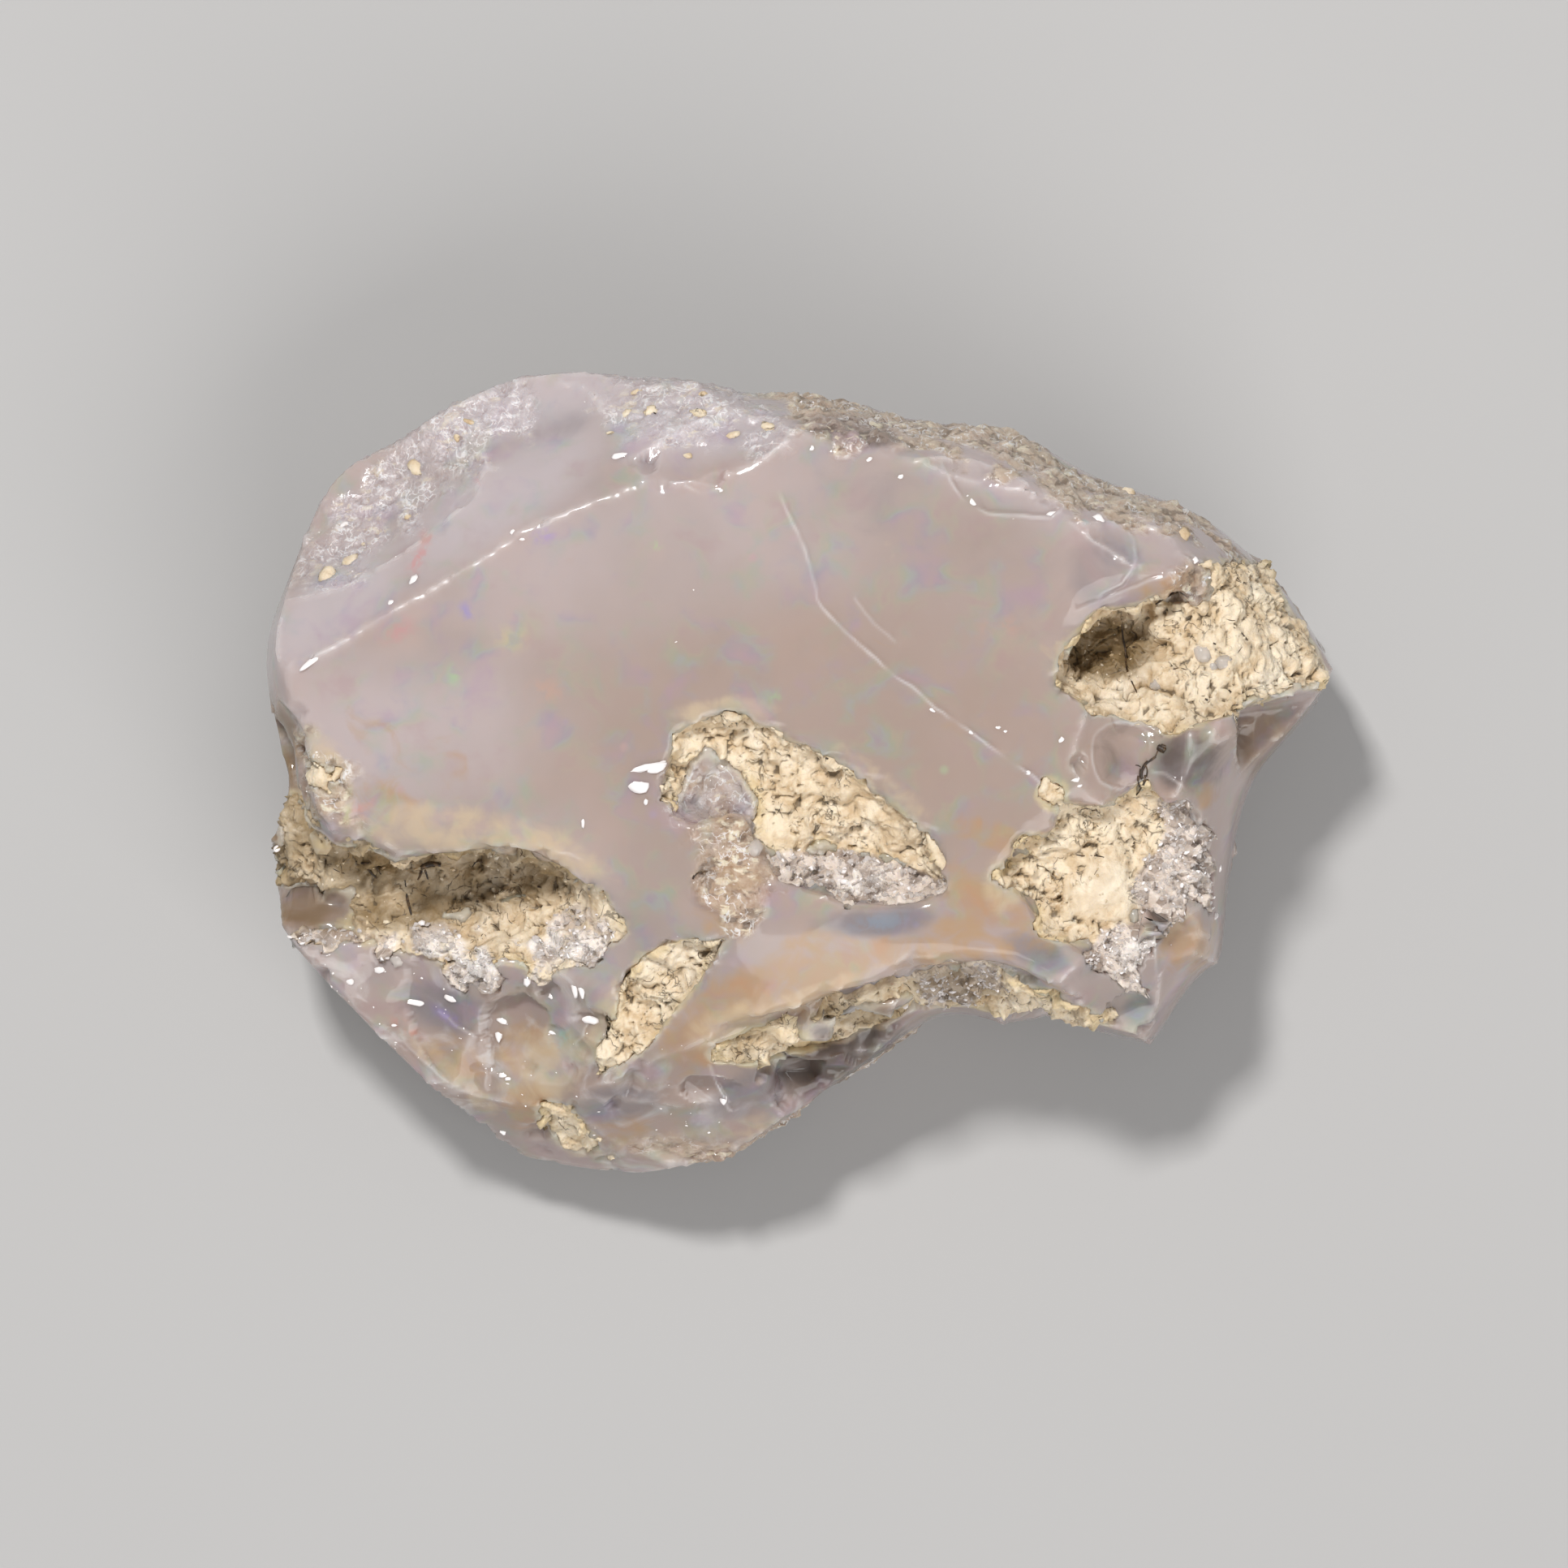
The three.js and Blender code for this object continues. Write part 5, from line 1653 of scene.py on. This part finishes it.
    def _wandering(self, points: Array, crack: Crack) -> tuple[Array, Array]:
        """Follows a crack, which wanders a little.

        Args:
            points: where.
            crack: the crack.

        Returns:
            How far beside the crack each point is, and how strong the crack is there.
        """
        off, along = side_of_line(points[:, :2], crack.line)
        off = off + 0.05 * RELIEF.smooth(points, 0.8, 71) + 0.02 * RELIEF.smooth(points, 0.25, 72)
        ends = ramp(along, 0.0, 0.06) * fade(along, 0.94, 1.0)
        return off, ends * ramp(RELIEF.smooth(points, 0.7, 73), -1.0, 0.3)

    def _crack_the_face(self, skin: Skin) -> None:
        """Raises the fine ridges and steps the ground beside them down.

        Args:
            skin: the surface.
        """
        top = ramp(skin.normals()[:, 2], 0.5, 0.75) * ramp(skin.points[:, 2], 4.5, 5.0)
        for crack in self.cracks:
            off, strength = self._wandering(skin.points, crack)
            step = ramp(off, -0.02, 0.05) * np.exp(-np.maximum(off, 0) / crack.reach)
            crest = 0.35 * bell(off + 0.03, self.crest)
            skin.points[:, 2] += top * strength * crack.depth * (crest - step)

    def _knock_flakes(self, skin: Skin) -> None:
        """Takes off the flakes that are seen on the stone, small chips along its ridges, and chips from
        its glassy south-western mass.

        Args:
            skin: the surface.
        """
        tree, surface, facing = search_tree(skin.points), skin.tree(), skin.normals()
        for flake in self.flakes:
            hit, _ = drop(surface, flake.at)
            if hit is not None:
                self._cut_near(skin, tree, flake, hit)
        draw = np.random.default_rng(self.seed)
        for _ in range(self.rim_chips):
            spot = self.ridges[draw.integers(len(self.ridges))]
            normal = Vector(facing[tree.find(spot)[1]])
            size = draw.uniform(0.18, 0.6)
            flake = self._chip(spot, normal, size, size * draw.uniform(0.06, 0.16), 12, draw)
            self._cut_near(skin, tree, flake, spot - normal * size * draw.uniform(-0.02, 0.06))
        low, high = np.min(self.glass_outline, axis=0), np.max(self.glass_outline, axis=0)
        for plan in draw.uniform(low, high, (self.glass_chips, 2)):
            hit, normal = drop(surface, plan)
            inside = inside_distance(plan[None], self.glass_outline)[0] > 0
            if hit is not None and inside and self.ground.crust(np.array([hit]))[0][0] < 0.01:
                size = draw.uniform(0.2, 0.65)
                flake = self._chip(hit, normal, size, size * draw.uniform(0.08, 0.14), 9, draw)
                self._cut_near(skin, tree, flake, hit)

    def _chip(
        self, spot: Vector, normal: Vector, size: float, depth: float, wobble: float, draw: np.random.Generator
    ) -> Flake:
        """A random flake, about in the plane of the surface.

        Args:
            spot: its middle.
            normal: the way that the surface faces there.
            size: its longer half size.
            depth: its depth.
            wobble: how far it is tilted against the surface, in degrees.
            draw: where its random numbers come from.

        Returns:
            The flake.
        """
        return Flake(
            at=(spot.x, spot.y),
            facing=math.degrees(math.atan2(normal.y, normal.x)) + draw.normal(0, 25),
            tilt=math.degrees(math.acos(max(-1.0, min(1.0, normal.z)))) + draw.normal(0, wobble),
            radii=(size, size * draw.uniform(0.4, 0.8)),
            depth=depth,
            turn=draw.uniform(0, 180),
        )

    def _cut_near(self, skin: Skin, tree: kdtree.KDTree, flake: Flake, middle: Vector) -> None:
        """Takes one flake off the points near it.

        Args:
            skin: the surface.
            tree: its points as they were before any flake.
            flake: the flake.
            middle: the point that the flake's middle was over.
        """
        near = [i for _, i, _ in tree.find_range(middle, 1.3 * max(flake.radii))]
        if near:
            skin.points[near] = flake.cut(skin.points[near], np.array(middle))

    def _roughen(self, skin: Skin, ground: dict[Ground, Array]) -> None:
        """Gives the crushed and crusted ground its relief, and makes room for the host rock.

        Args:
            skin: the surface.
            ground: how much of each kind of ground each point has.
        """
        points = skin.points
        bent = points + 0.12 * np.stack([RELIEF.smooth(points, 0.5, 80 + n) for n in range(3)], axis=1)
        offset, joint, draw = RELIEF.cells(bent, 0.34, salt=5)
        lumps = 0.2 * RELIEF.billow(points, 1.2, 3, salt=90) - 0.08
        crystals = 0.2 * (offset * draw).sum(axis=1) - 0.06 * ramp(-joint, -0.2, 0.0)
        rise = ground[Ground.FROST] * (0.4 * lumps + 0.5 * crystals)
        rise += ground[Ground.CRUST] * (0.9 * lumps + 0.7 * crystals)
        rise -= self.rock_depth * ramp(ground[Ground.ROCK] + ground[Ground.GLITTER], 0.6, 0.97)
        skin.points = points + skin.even_normals(4) * rise[:, None]

    def _fields(self, skin: Skin, ground: dict[Ground, Array]) -> dict[str, Array]:
        """Gathers what the finish needs to know about each point.

        Args:
            skin: the surface.
            ground: how much of each kind of ground each point has.

        Returns:
            A number for each point, under each name that the finish asks for.
        """
        points = skin.points
        fields = {kind.value: ground[kind] for kind in (Ground.CRUST, Ground.FROST)}
        for tint, clouds in self.clouds.items():
            shares = [cloud.share(points) for cloud in clouds]
            fields[tint.value] = np.max(shares, axis=0) * ramp(points[:, 2], 3.0, 4.2)
        near = skin.spread((ground[Ground.ROCK] + 0.3 * ground[Ground.GLITTER])[:, None], 0.6, 26)[:, 0]
        fields["haze"] = ramp(near, 0.03, 0.55)
        fields["halo"] *= 0.5 + 0.5 * fields["haze"]
        fields["stain_and_shade"] = self.ground.stain_and_shade(points)
        # Pale painted highlight along each crack's crest.
        crest_highlights = []
        for crack in self.cracks:
            off, strength = self._wandering(points, crack)
            crest_highlights.append(crack.pale * strength * bell(off + 0.03, self.crest))
        fields["crest_highlight"] = np.max(crest_highlights, axis=0) * ramp(points[:, 2], 4.5, 5.0)
        # Closeness to a ridge: it dulls the ridge and lays a pale painted highlight along it.
        ridge = bell(distances(search_tree(self.ridges), points), self.edge_width)
        fields["edge"] = ridge * (1 - ground[Ground.ROCK] - ground[Ground.GLITTER])
        glass = ramp(inside_distance(points[:, :2], self.glass_outline), -0.4, 0.4)
        south_layer = fade(points[:, 1], -6.9, -6.2) * ramp(points[:, 0], -2.2, -1.2)
        low = fade(points[:, 2], 3.0, 6.5)
        fields["clear"] = np.clip(0.8 * glass + 0.8 * south_layer + 0.4 * low, 0, 1)
        return fields

    def _sparkling(self, skin: Skin, ground: dict[Ground, Array]) -> Array:
        """Finds where glossy nicks are: on the rough ground, the glassy mass and the face.

        Args:
            skin: the surface.
            ground: how much of each kind of ground each point has.

        Returns:
            How likely a nick is at each point.
        """
        glass = inside_distance(skin.points[:, :2], self.glass_outline) > 0
        likely = 0.5 * ground[Ground.CRUST] + 0.5 * ground[Ground.FROST] + 0.6 * glass + 0.02
        bare = np.maximum(1 - ground[Ground.ROCK] - ground[Ground.GLITTER], 0)
        return likely * bare * ramp(skin.normals()[:, 2], 0.3, 0.6) * ramp(skin.points[:, 2], 4.0, 4.5)

    def build(self, worn: bpy.types.Mesh) -> bpy.types.Object:
        """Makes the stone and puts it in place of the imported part.

        Args:
            worn: the stone's worn shape.

        Returns:
            The stone.
        """
        mesh = worn.copy()
        self._refine_details(mesh)
        skin = Skin(mesh)
        self._knock_flakes(skin)
        self._crack_the_face(skin)
        ground = self.ground.shares(skin.points)
        self._roughen(skin, ground)
        skin.bound()
        skin.store()
        write_fields(mesh, self._fields(skin, ground))
        mesh.materials.append(OpalFinish().make())
        mesh.shade_smooth()
        self.skin, self.sparkling = skin, self._sparkling(skin, ground)
        return place("opal_stone", mesh, replaces=True)


@dataclass
class HostRock:
    """The host rock left in the pits, in the groove and along the ledge: a crumbly crust whose edge
    dives under the opal."""

    ground: GroundMap
    thickness: float = 0.34
    cuts: int = 2
    dive: float = 0.28
    hollow_rounds: tuple[int, int] = (12, 60)
    rim_rounds: int = 50
    lift: float = -0.015
    whitest: tuple[tuple[Point, Point], ...] = (
        ((-7.4, -4.5), (2.9, 0.9)), ((1.6, -2.7), (0.8, 0.4)), ((8.7, -4.6), (0.7, 0.6)),
    )
    lumps: tuple[Point, ...] = ((0.95, 0.32), (0.42, 0.11), (0.2, 0.04))
    flake_sizes: Point = (0.5, 0.27)
    flake_tilts: Point = (0.15, 0.09)
    splinter_size: float = 0.42
    splinter_tilt: float = 0.26
    crevice_depth: float = 0.14
    smooth_lump: Triple = (7.62, -2.9, 1.0)

    def _cut_out(self, worn: bpy.types.Mesh) -> Shape:
        """Cuts out the stone's surface where the rock is, and the faces next to it.

        Args:
            worn: the stone's worn shape.

        Returns:
            The surface.
        """
        shape = bmesh.new()
        shape.from_mesh(worn)
        bmesh.ops.remove_doubles(shape, verts=shape.verts, dist=0.02)
        shape.verts.ensure_lookup_table()
        share, _ = self.ground.crust(np.array([vertex.co for vertex in shape.verts]))
        kept = {face for i in np.flatnonzero(share > 0.02) for face in shape.verts[i].link_faces}
        bmesh.ops.delete(shape, geom=[face for face in shape.faces if face not in kept], context="FACES")
        return shape

    def _thicken(self, shape: Shape) -> None:
        """Gives the crust its inner side and closes it, then makes its outer side finer.

        Args:
            shape: the crust's outer side.
        """
        shape.normal_update()
        outer = shape.verts.layers.float.new("outer")
        inwards = {}
        for vertex in shape.verts:
            vertex[outer] = 1.0
            inwards[tuple(vertex.co)] = vertex.normal * self.thickness
        made = bmesh.ops.extrude_face_region(shape, geom=shape.faces[:], use_keep_orig=True)["geom"]
        for vertex in (part for part in made if isinstance(part, bmesh.types.BMVert)):
            vertex[outer] = 0.0
            vertex.co -= inwards[tuple(vertex.co)]
        bmesh.ops.recalc_face_normals(shape, faces=shape.faces)
        outside = [face for face in shape.faces if all(vertex[outer] == 1.0 for vertex in face.verts)]
        refine(shape, outside, self.cuts)

    def _lumpiness(self, points: Array) -> Array:
        """Finds the smooth pale lump in the south-eastern pit.

        Args:
            points: where.

        Returns:
            How near each point is to its middle, from 0 to 1.
        """
        x, y, radius = self.smooth_lump
        off = np.hypot(points[:, 0] - x, 1.15 * (points[:, 1] - y)) / radius
        return fade(off + 0.32 * RELIEF.fractal(points, 0.8, 2, 63), 0.5, 1.0)

    def _tilted(self, points: Array, size: float, tilt: float, salt: int) -> tuple[Array, Array]:
        """How far points stand out on tilted flakes, and how far they are from a joint between flakes."""
        offset, joint, draw = RELIEF.cells(points, size, salt)
        return tilt * (offset * draw).sum(axis=1), joint

    def _relief(self, points: Array, crushed: Array) -> Array:
        """How far the crust stands out at each point.

        Args:
            points: where.
            crushed: how much of the crust is crushed opal there.

        Returns:
            Puffy lumps, tilted flakes and deep crevices in the rock, and small sharp splinters in the opal.
        """
        bent = points + 0.16 * np.stack([RELIEF.fractal(points, 0.6, 2, 80 + 3 * n) for n in range(3)], axis=1)
        sizes = enumerate(self.lumps)
        lumps = sum(height * (RELIEF.billow(bent, size, 1, 90 + n) - 0.35) for n, (size, height) in sizes)
        coarse, joint = self._tilted(bent, self.flake_sizes[0], self.flake_tilts[0], 3)
        fine, _ = self._tilted(bent * np.array((1.0, 1.6, 1.0)), self.flake_sizes[1], self.flake_tilts[1], 14)
        flakes = coarse - 0.03 * fade(joint, 0.0, 0.1) + fine
        split = np.abs(RELIEF.fractal(bent, 1.5, 2, salt=97))
        crevices = -self.crevice_depth * fade(split, 0.0, 0.05) * ramp(RELIEF.smooth(points, 1.2, 99), -0.1, 0.25)
        rugged = ramp(RELIEF.smooth(points, 1.3, 61), -0.45, 0.35)
        rough = lumps + (0.35 + 0.9 * rugged) * flakes + crevices
        near = self._lumpiness(points)
        rough = rough * (1 - 0.8 * near) + 0.12 * near
        offset, _, draw = RELIEF.cells(points * np.array((1.0, 1.5, 1.0)), self.splinter_size, salt=33)
        splinters = self.splinter_tilt * (offset * draw).sum(axis=1) + 0.05 * draw[:, 0]
        return (1 - crushed) * rough + crushed * (0.4 * lumps + splinters)

    def build(self, worn: bpy.types.Mesh) -> bpy.types.Object:
        """Makes the rock.

        Args:
            worn: the stone's worn shape.

        Returns:
            The rock, as one piece.
        """
        shape = self._cut_out(worn)
        self._thicken(shape)
        mesh = finished("host_rock", shape)
        skin = Skin(mesh)
        outer = read(mesh.attributes["outer"].data, "value", 1)[:, 0]
        share, crushed = self.ground.crust(skin.points)
        normals = skin.even_normals(6)
        firm = ramp(share, 0.2, 0.6)
        rise = firm * (self._relief(skin.points, crushed) + self.lift) - self.dive * (1 - firm)
        skin.points = skin.points + normals * (rise * outer)[:, None]
        skin.bound()
        skin.store()
        evened = (skin.spread(skin.points, 0.5, rounds) for rounds in self.hollow_rounds)
        hollow, wide = (((even - skin.points) * normals).sum(axis=1) for even in evened)
        white = [fade(ellipse_distance(skin.points, *patch), 0.5, 1.2) for patch in self.whitest]
        fields = {
            # Hollows: olive stain and painted shade; tops: wear and painted highlight.
            "cavity_stain_and_shade": np.maximum(ramp(hollow, 0.005, 0.06), ramp(wide, 0.05, 0.2)) * ramp(share, 0.6, 1.0),
            "crushed": crushed,
            "peak_wear_and_highlight": ramp(-hollow, 0.0, 0.03),
            "rim": fade(skin.spread(share[:, None], 0.5, self.rim_rounds)[:, 0], 0.7, 0.97) * outer,
            "stain_and_shade": self.ground.stain_and_shade(skin.points),
            "lump": self._lumpiness(skin.points) * (1 - crushed),
            "white": np.max(white, axis=0),
        }
        write_fields(mesh, fields)
        mesh.attributes.remove(mesh.attributes["outer"])
        mesh.materials.append(HostRockFinish().make())
        mesh.shade_smooth()
        firm = ramp(share, 0.8, 1.0) * ramp(skin.points[:, 2], 4.0, 5.0) * outer
        self.skin, self.rock, self.crushed = skin, firm * (1 - crushed), firm * crushed
        return place("host_rock", mesh)


@dataclass
class Grains:
    """Small broken grains that are stuck to the stone where a kind of ground is."""

    name: str
    count: int
    radii: tuple[float, float]
    finish: bpy.types.Material
    sink: float = 0.3
    flatten: float = 0.6
    seed: int = 3

    def build(self, skin: Skin, share: Array) -> bpy.types.Object:
        """Scatters the grains.

        Args:
            skin: the surface that they lie on.
            share: how much of their ground each of its points has.

        Returns:
            The grains, as one piece.
        """
        draw = np.random.default_rng(self.seed)
        chosen = draw.choice(len(share), self.count, replace=False, p=share / share.sum())
        normals = skin.normals()
        grains = bmesh.new()
        for i in chosen:
            radius = self.radii[0] * (self.radii[1] / self.radii[0]) ** draw.uniform()
            turn = Matrix.Rotation(draw.uniform(0, 6.28), 4, Vector(draw.normal(size=3)))
            sizes = Matrix.Diagonal((radius, radius * draw.uniform(0.5, 1), radius * self.flatten, 1))
            middle = Vector(skin.points[i] - normals[i] * radius * self.sink)
            made = bmesh.ops.create_icosphere(
                grains, subdivisions=1, radius=1.0, matrix=Matrix.Translation(middle) @ turn @ sizes
            )
            for vertex, knock in zip(made["verts"], draw.uniform(0.7, 1.15, len(made["verts"]))):
                vertex.co = middle + (vertex.co - middle) * knock
        mesh = finished(self.name, grains)
        mesh.materials.append(self.finish)
        return place(self.name, mesh)


@dataclass
class Lenses:
    """Small smooth grains set in the surface: drawn ones, and some scattered at random. They lean so
    that they catch the key light."""

    name: str
    drawn: tuple[Lens, ...]
    finish: bpy.types.Material
    count: int = 0
    radii: tuple[float, float] = (0.025, 0.07)
    facing: float = 115.8
    tilt: float = 13.9
    sink: float = 0.7
    uneven: float = 0.35
    seed: int = 17

    def _add(self, shape: Shape, middle: Vector, lens: Lens) -> None:
        """Adds one grain.

        Args:
            shape: what it is added to.
            middle: the point of the surface that its middle is a little under.
            lens: its sizes.
        """
        lie = Matrix.Rotation(math.radians(self.facing), 4, "Z") @ Matrix.Rotation(math.radians(self.tilt), 4, "Y")
        lie = lie @ Matrix.Rotation(math.radians(lens.turn - self.facing), 4, "Z")
        sizes = Matrix.Diagonal((*lens.radii, lens.height, 1))
        sunk = middle - Vector((0, 0, self.sink * lens.height))
        sizes = Matrix.Translation(sunk) @ lie @ sizes
        made = bmesh.ops.create_icosphere(shape, subdivisions=2, radius=1.0, matrix=sizes)
        spots = np.array([vertex.co for vertex in made["verts"]])
        knocks = 1 + self.uneven * RELIEF.smooth(spots, 0.5 * lens.radii[0], 44)
        for vertex, knock in zip(made["verts"], knocks):
            vertex.co = sunk + (vertex.co - sunk) * max(0.5, float(knock))

    def build(self, surfaces: Sequence[Skin], share: Array | None = None) -> bpy.types.Object:
        """Sets the grains.

        Args:
            surfaces: what they lie on, the one with the scattered ones first.
            share: how likely a scattered one is at each of its points.

        Returns:
            The grains, as one piece.
        """
        draw = np.random.default_rng(self.seed)
        shape = bmesh.new()
        trees = [surface.tree() for surface in surfaces]
        for lens in self.drawn:
            hits = [drop(tree, lens.at)[0] for tree in trees]
            found = [hit for hit in hits if hit is not None]
            if found:
                self._add(shape, max(found, key=lambda hit: hit.z), lens)
        if share is not None:
            for i in draw.choice(len(share), self.count, replace=False, p=share / share.sum()):
                spot = Vector(surfaces[0].points[i])
                wide = self.radii[0] * (self.radii[1] / self.radii[0]) ** draw.uniform()
                radii = (wide, wide * draw.uniform(0.25, 0.8))
                self._add(shape, spot, Lens((spot.x, spot.y), radii, 0.25 * wide, draw.uniform(0, 180)))
        mesh = finished(self.name, shape)
        mesh.materials.append(self.finish)
        mesh.shade_smooth()
        return place(self.name, mesh)


@dataclass
class DarkThreads:
    """Moss, root fibres and dark cracks that lie on the stone, each a thin thread."""

    drawn: tuple[tuple[float, Line], ...] = THREADS
    fibres: int = 90
    fibre_width: tuple[float, float] = (0.012, 0.022)
    fibre_length: tuple[float, float] = (0.15, 0.5)
    fibre_bend: float = 0.5
    steps: int = 4
    close: float = 0.08
    under: float = 0.1
    seed: int = 11

    def _fibres(self, draw: np.random.Generator, rock: Skin, share: Array) -> list[tuple[float, Line]]:
        """Draws short random fibres on the host rock.

        Args:
            draw: where its random numbers come from.
            rock: the rock's surface.
            share: where the rock is firm.

        Returns:
            Each fibre's width, and its line seen from above.
        """
        made = []
        firm = search_tree((x, y, 0.0) for x, y, _ in rock.points[share > 0.5])
        for i in draw.choice(len(share), self.fibres, replace=False, p=share / share.sum()):
            x, y, _ = rock.points[i]
            way, bend = draw.uniform(0, 2 * math.pi), draw.normal(0, self.fibre_bend)
            length = draw.uniform(*self.fibre_length) / self.steps
            line = [(x, y)]
            for _ in range(self.steps):
                x, y, way = x + length * math.cos(way), y + length * math.sin(way), way + bend
                line.append((x, y))
            width = draw.uniform(*self.fibre_width)
            if all(firm.find((*point, 0.0))[2] < self.close for point in line):
                made.append((width, line))
        return made

    def build(self, stone: Skin, rock: Skin, share: Array) -> bpy.types.Object:
        """Lays the threads on the stone.

        Args:
            stone: the opal's surface.
            rock: the rock's surface.
            share: where the rock is firm.

        Returns:
            The threads, as one piece.
        """
        draw = np.random.default_rng(self.seed)
        surfaces = stone.tree(), rock.tree()
        curve = bpy.data.curves.new("threads", "CURVE")
        curve.dimensions = "3D"
        curve.bevel_depth, curve.bevel_resolution, curve.use_fill_caps = 1.0, 1, True
        fibres = self._fibres(draw, rock, share)
        for width, line in (*self.drawn, *fibres):
            places, tops = [], []
            for plan in line:
                hits = [drop(surface, plan)[0] for surface in surfaces]
                heights = [-math.inf if hit is None else hit.z for hit in hits]
                if max(heights) > 0:
                    places.append((*plan, max(heights)))
                    tops.append(heights[0] - heights[1])
            if len(places) < 2 or ((width, line) in fibres and max(tops) > self.under):
                continue
            spline = curve.splines.new("NURBS")
            spline.points.add(len(places) - 1)
            spline.order_u, spline.resolution_u, spline.use_endpoint_u = 3, 3, True
            for k, (point, spot) in enumerate(zip(spline.points, places)):
                taper = 0.5 + 0.5 * math.sin(math.pi * (k + 0.5) / len(places))
                point.co = (*spot, 1.0)
                point.radius = width / 2 * taper
        holder = bpy.data.objects.new("threads", curve)
        mesh = bpy.data.meshes.new_from_object(holder)
        bpy.data.objects.remove(holder)
        mesh.materials.clear()
        mesh.materials.append(ThreadFinish().make())
        return place("dark_threads", mesh)


@dataclass
class Studio:
    """A pale floor, soft light from the north and above, and a camera that looks straight down."""

    camera_at: Triple = (-0.365, -0.324, 509.0)
    sensor: float = 36.0
    lens: float = 459.5
    clip: Point = (0.01, 20.0)
    floor_size: float = 4000.0
    key_from: Triple = (-0.3, 0.62, 1.3)
    key_distance: float = 400.0
    key_size: float = 48.0
    key_power: float = 1.25
    fill_from: Triple = (0.45, -0.8, 0.8)
    fill_distance: float = 600.0
    fill_size: float = 500.0
    fill_power: float = 2.3
    sky: float = 0.34
    sky_tint: Colour = (0.94, 0.96, 1.0, 1.0)
    floor_colours: tuple[Colour, Colour] = (colour(172, 170, 168), colour(177, 175, 173))

    def _floor(self) -> None:
        """A large level floor under the stone."""
        plane = bmesh.new()
        bmesh.ops.create_grid(plane, x_segments=1, y_segments=1, size=self.floor_size * MM / 2)
        mesh = finished("floor", plane)
        bench = Bench("pale_floor")
        base = bench.mix(bench.noise(30.0), *self.floor_colours)
        mesh.materials.append(bench.finish({"Base Color": base, "Roughness": 0.8}))
        show("floor", mesh)

    def _light(self, name: str, towards: Sequence[float], distance: float, size: float, power: float) -> None:
        """A square soft light that points at the stone.

        Args:
            name: its name.
            towards: the direction that it stands in.
            distance: how far away, in millimetres.
            size: its side, in millimetres.
            power: in watts.
        """
        lamp = bpy.data.lights.new(name, "AREA")
        lamp.size = size * MM
        lamp.energy = power
        light = show(name, lamp)
        direction = Vector(towards).normalized()
        light.location = direction * distance * MM
        light.rotation_euler = direction.to_track_quat("Z", "Y").to_euler()

    def _camera(self) -> None:
        """The camera of the reference view."""
        camera = bpy.data.cameras.new("camera")
        camera.sensor_width = self.sensor
        camera.lens = self.lens
        camera.clip_start, camera.clip_end = self.clip
        holder = show("camera", camera)
        holder.location = Vector(self.camera_at) * MM
        bpy.context.scene.camera = holder

    def build(self) -> None:
        """Sets the stage."""
        self._floor()
        self._light("key", self.key_from, self.key_distance, self.key_size, self.key_power)
        self._light("fill", self.fill_from, self.fill_distance, self.fill_size, self.fill_power)
        self._camera()
        world = bpy.data.worlds.new("studio")
        bpy.context.scene.world = world
        world.use_nodes = True
        background = world.node_tree.nodes["Background"]
        background.inputs["Color"].default_value = self.sky_tint
        background.inputs["Strength"].default_value = self.sky
        bpy.context.scene.view_settings.view_transform = "Standard"


def report(piece: bpy.types.Object) -> None:
    """Logs a finished piece."""
    triangles = sum(len(polygon.vertices) - 2 for polygon in piece.data.polygons)
    log.info("%s: %d triangles", piece.name, triangles)


def main() -> None:
    """Builds the stone, its rock, what sticks to them, and the studio."""
    logging.basicConfig(level=logging.INFO, format="%(name)s %(message)s")
    ground = GroundMap()
    stone, rock = OpalStone(ground), HostRock(ground)
    worn = stone.wear(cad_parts[CAD_NODE])
    report(rock.build(worn))
    report(stone.build(worn))
    bpy.data.meshes.remove(worn)
    crumbs = bpy.data.materials["host_rock"]
    report(Grains("rock_crumbs", 600, (0.035, 0.1), crumbs).build(rock.skin, rock.rock))
    clear = GrainFinish().make()
    report(Grains("clear_grains", 1100, (0.05, 0.14), clear, flatten=0.4, seed=8).build(rock.skin, rock.crushed))
    surfaces = stone.skin, rock.skin
    # A near-white finish: painted highlights on the glossy nicks and on the crushed opal's grains.
    white = GrainFinish("white_painted_glints", colour(244, 240, 238), colour(226, 216, 212), 0.06, 0.0).make()
    glass = GrainFinish("clear_beads", colour(236, 230, 224), colour(222, 212, 202), 0.05, 0.5).make()
    report(Lenses("nicks_with_painted_glints", GLINTS, white, count=150, radii=(0.02, 0.055)).build(surfaces, stone.sparkling))
    report(Lenses("white_glint_grains", (), white, count=300, radii=(0.03, 0.1)).build((rock.skin,), rock.crushed))
    report(Lenses("clear_beads", BEADS, glass, tilt=0.0, sink=0.3).build(surfaces))
    report(Lenses("cream_grains", CREAM_GRAINS, crumbs, tilt=25.0, sink=0.2).build(surfaces))
    report(DarkThreads().build(stone.skin, rock.skin, rock.rock))
    Studio().build()


if __name__ == "__main__":
    main()
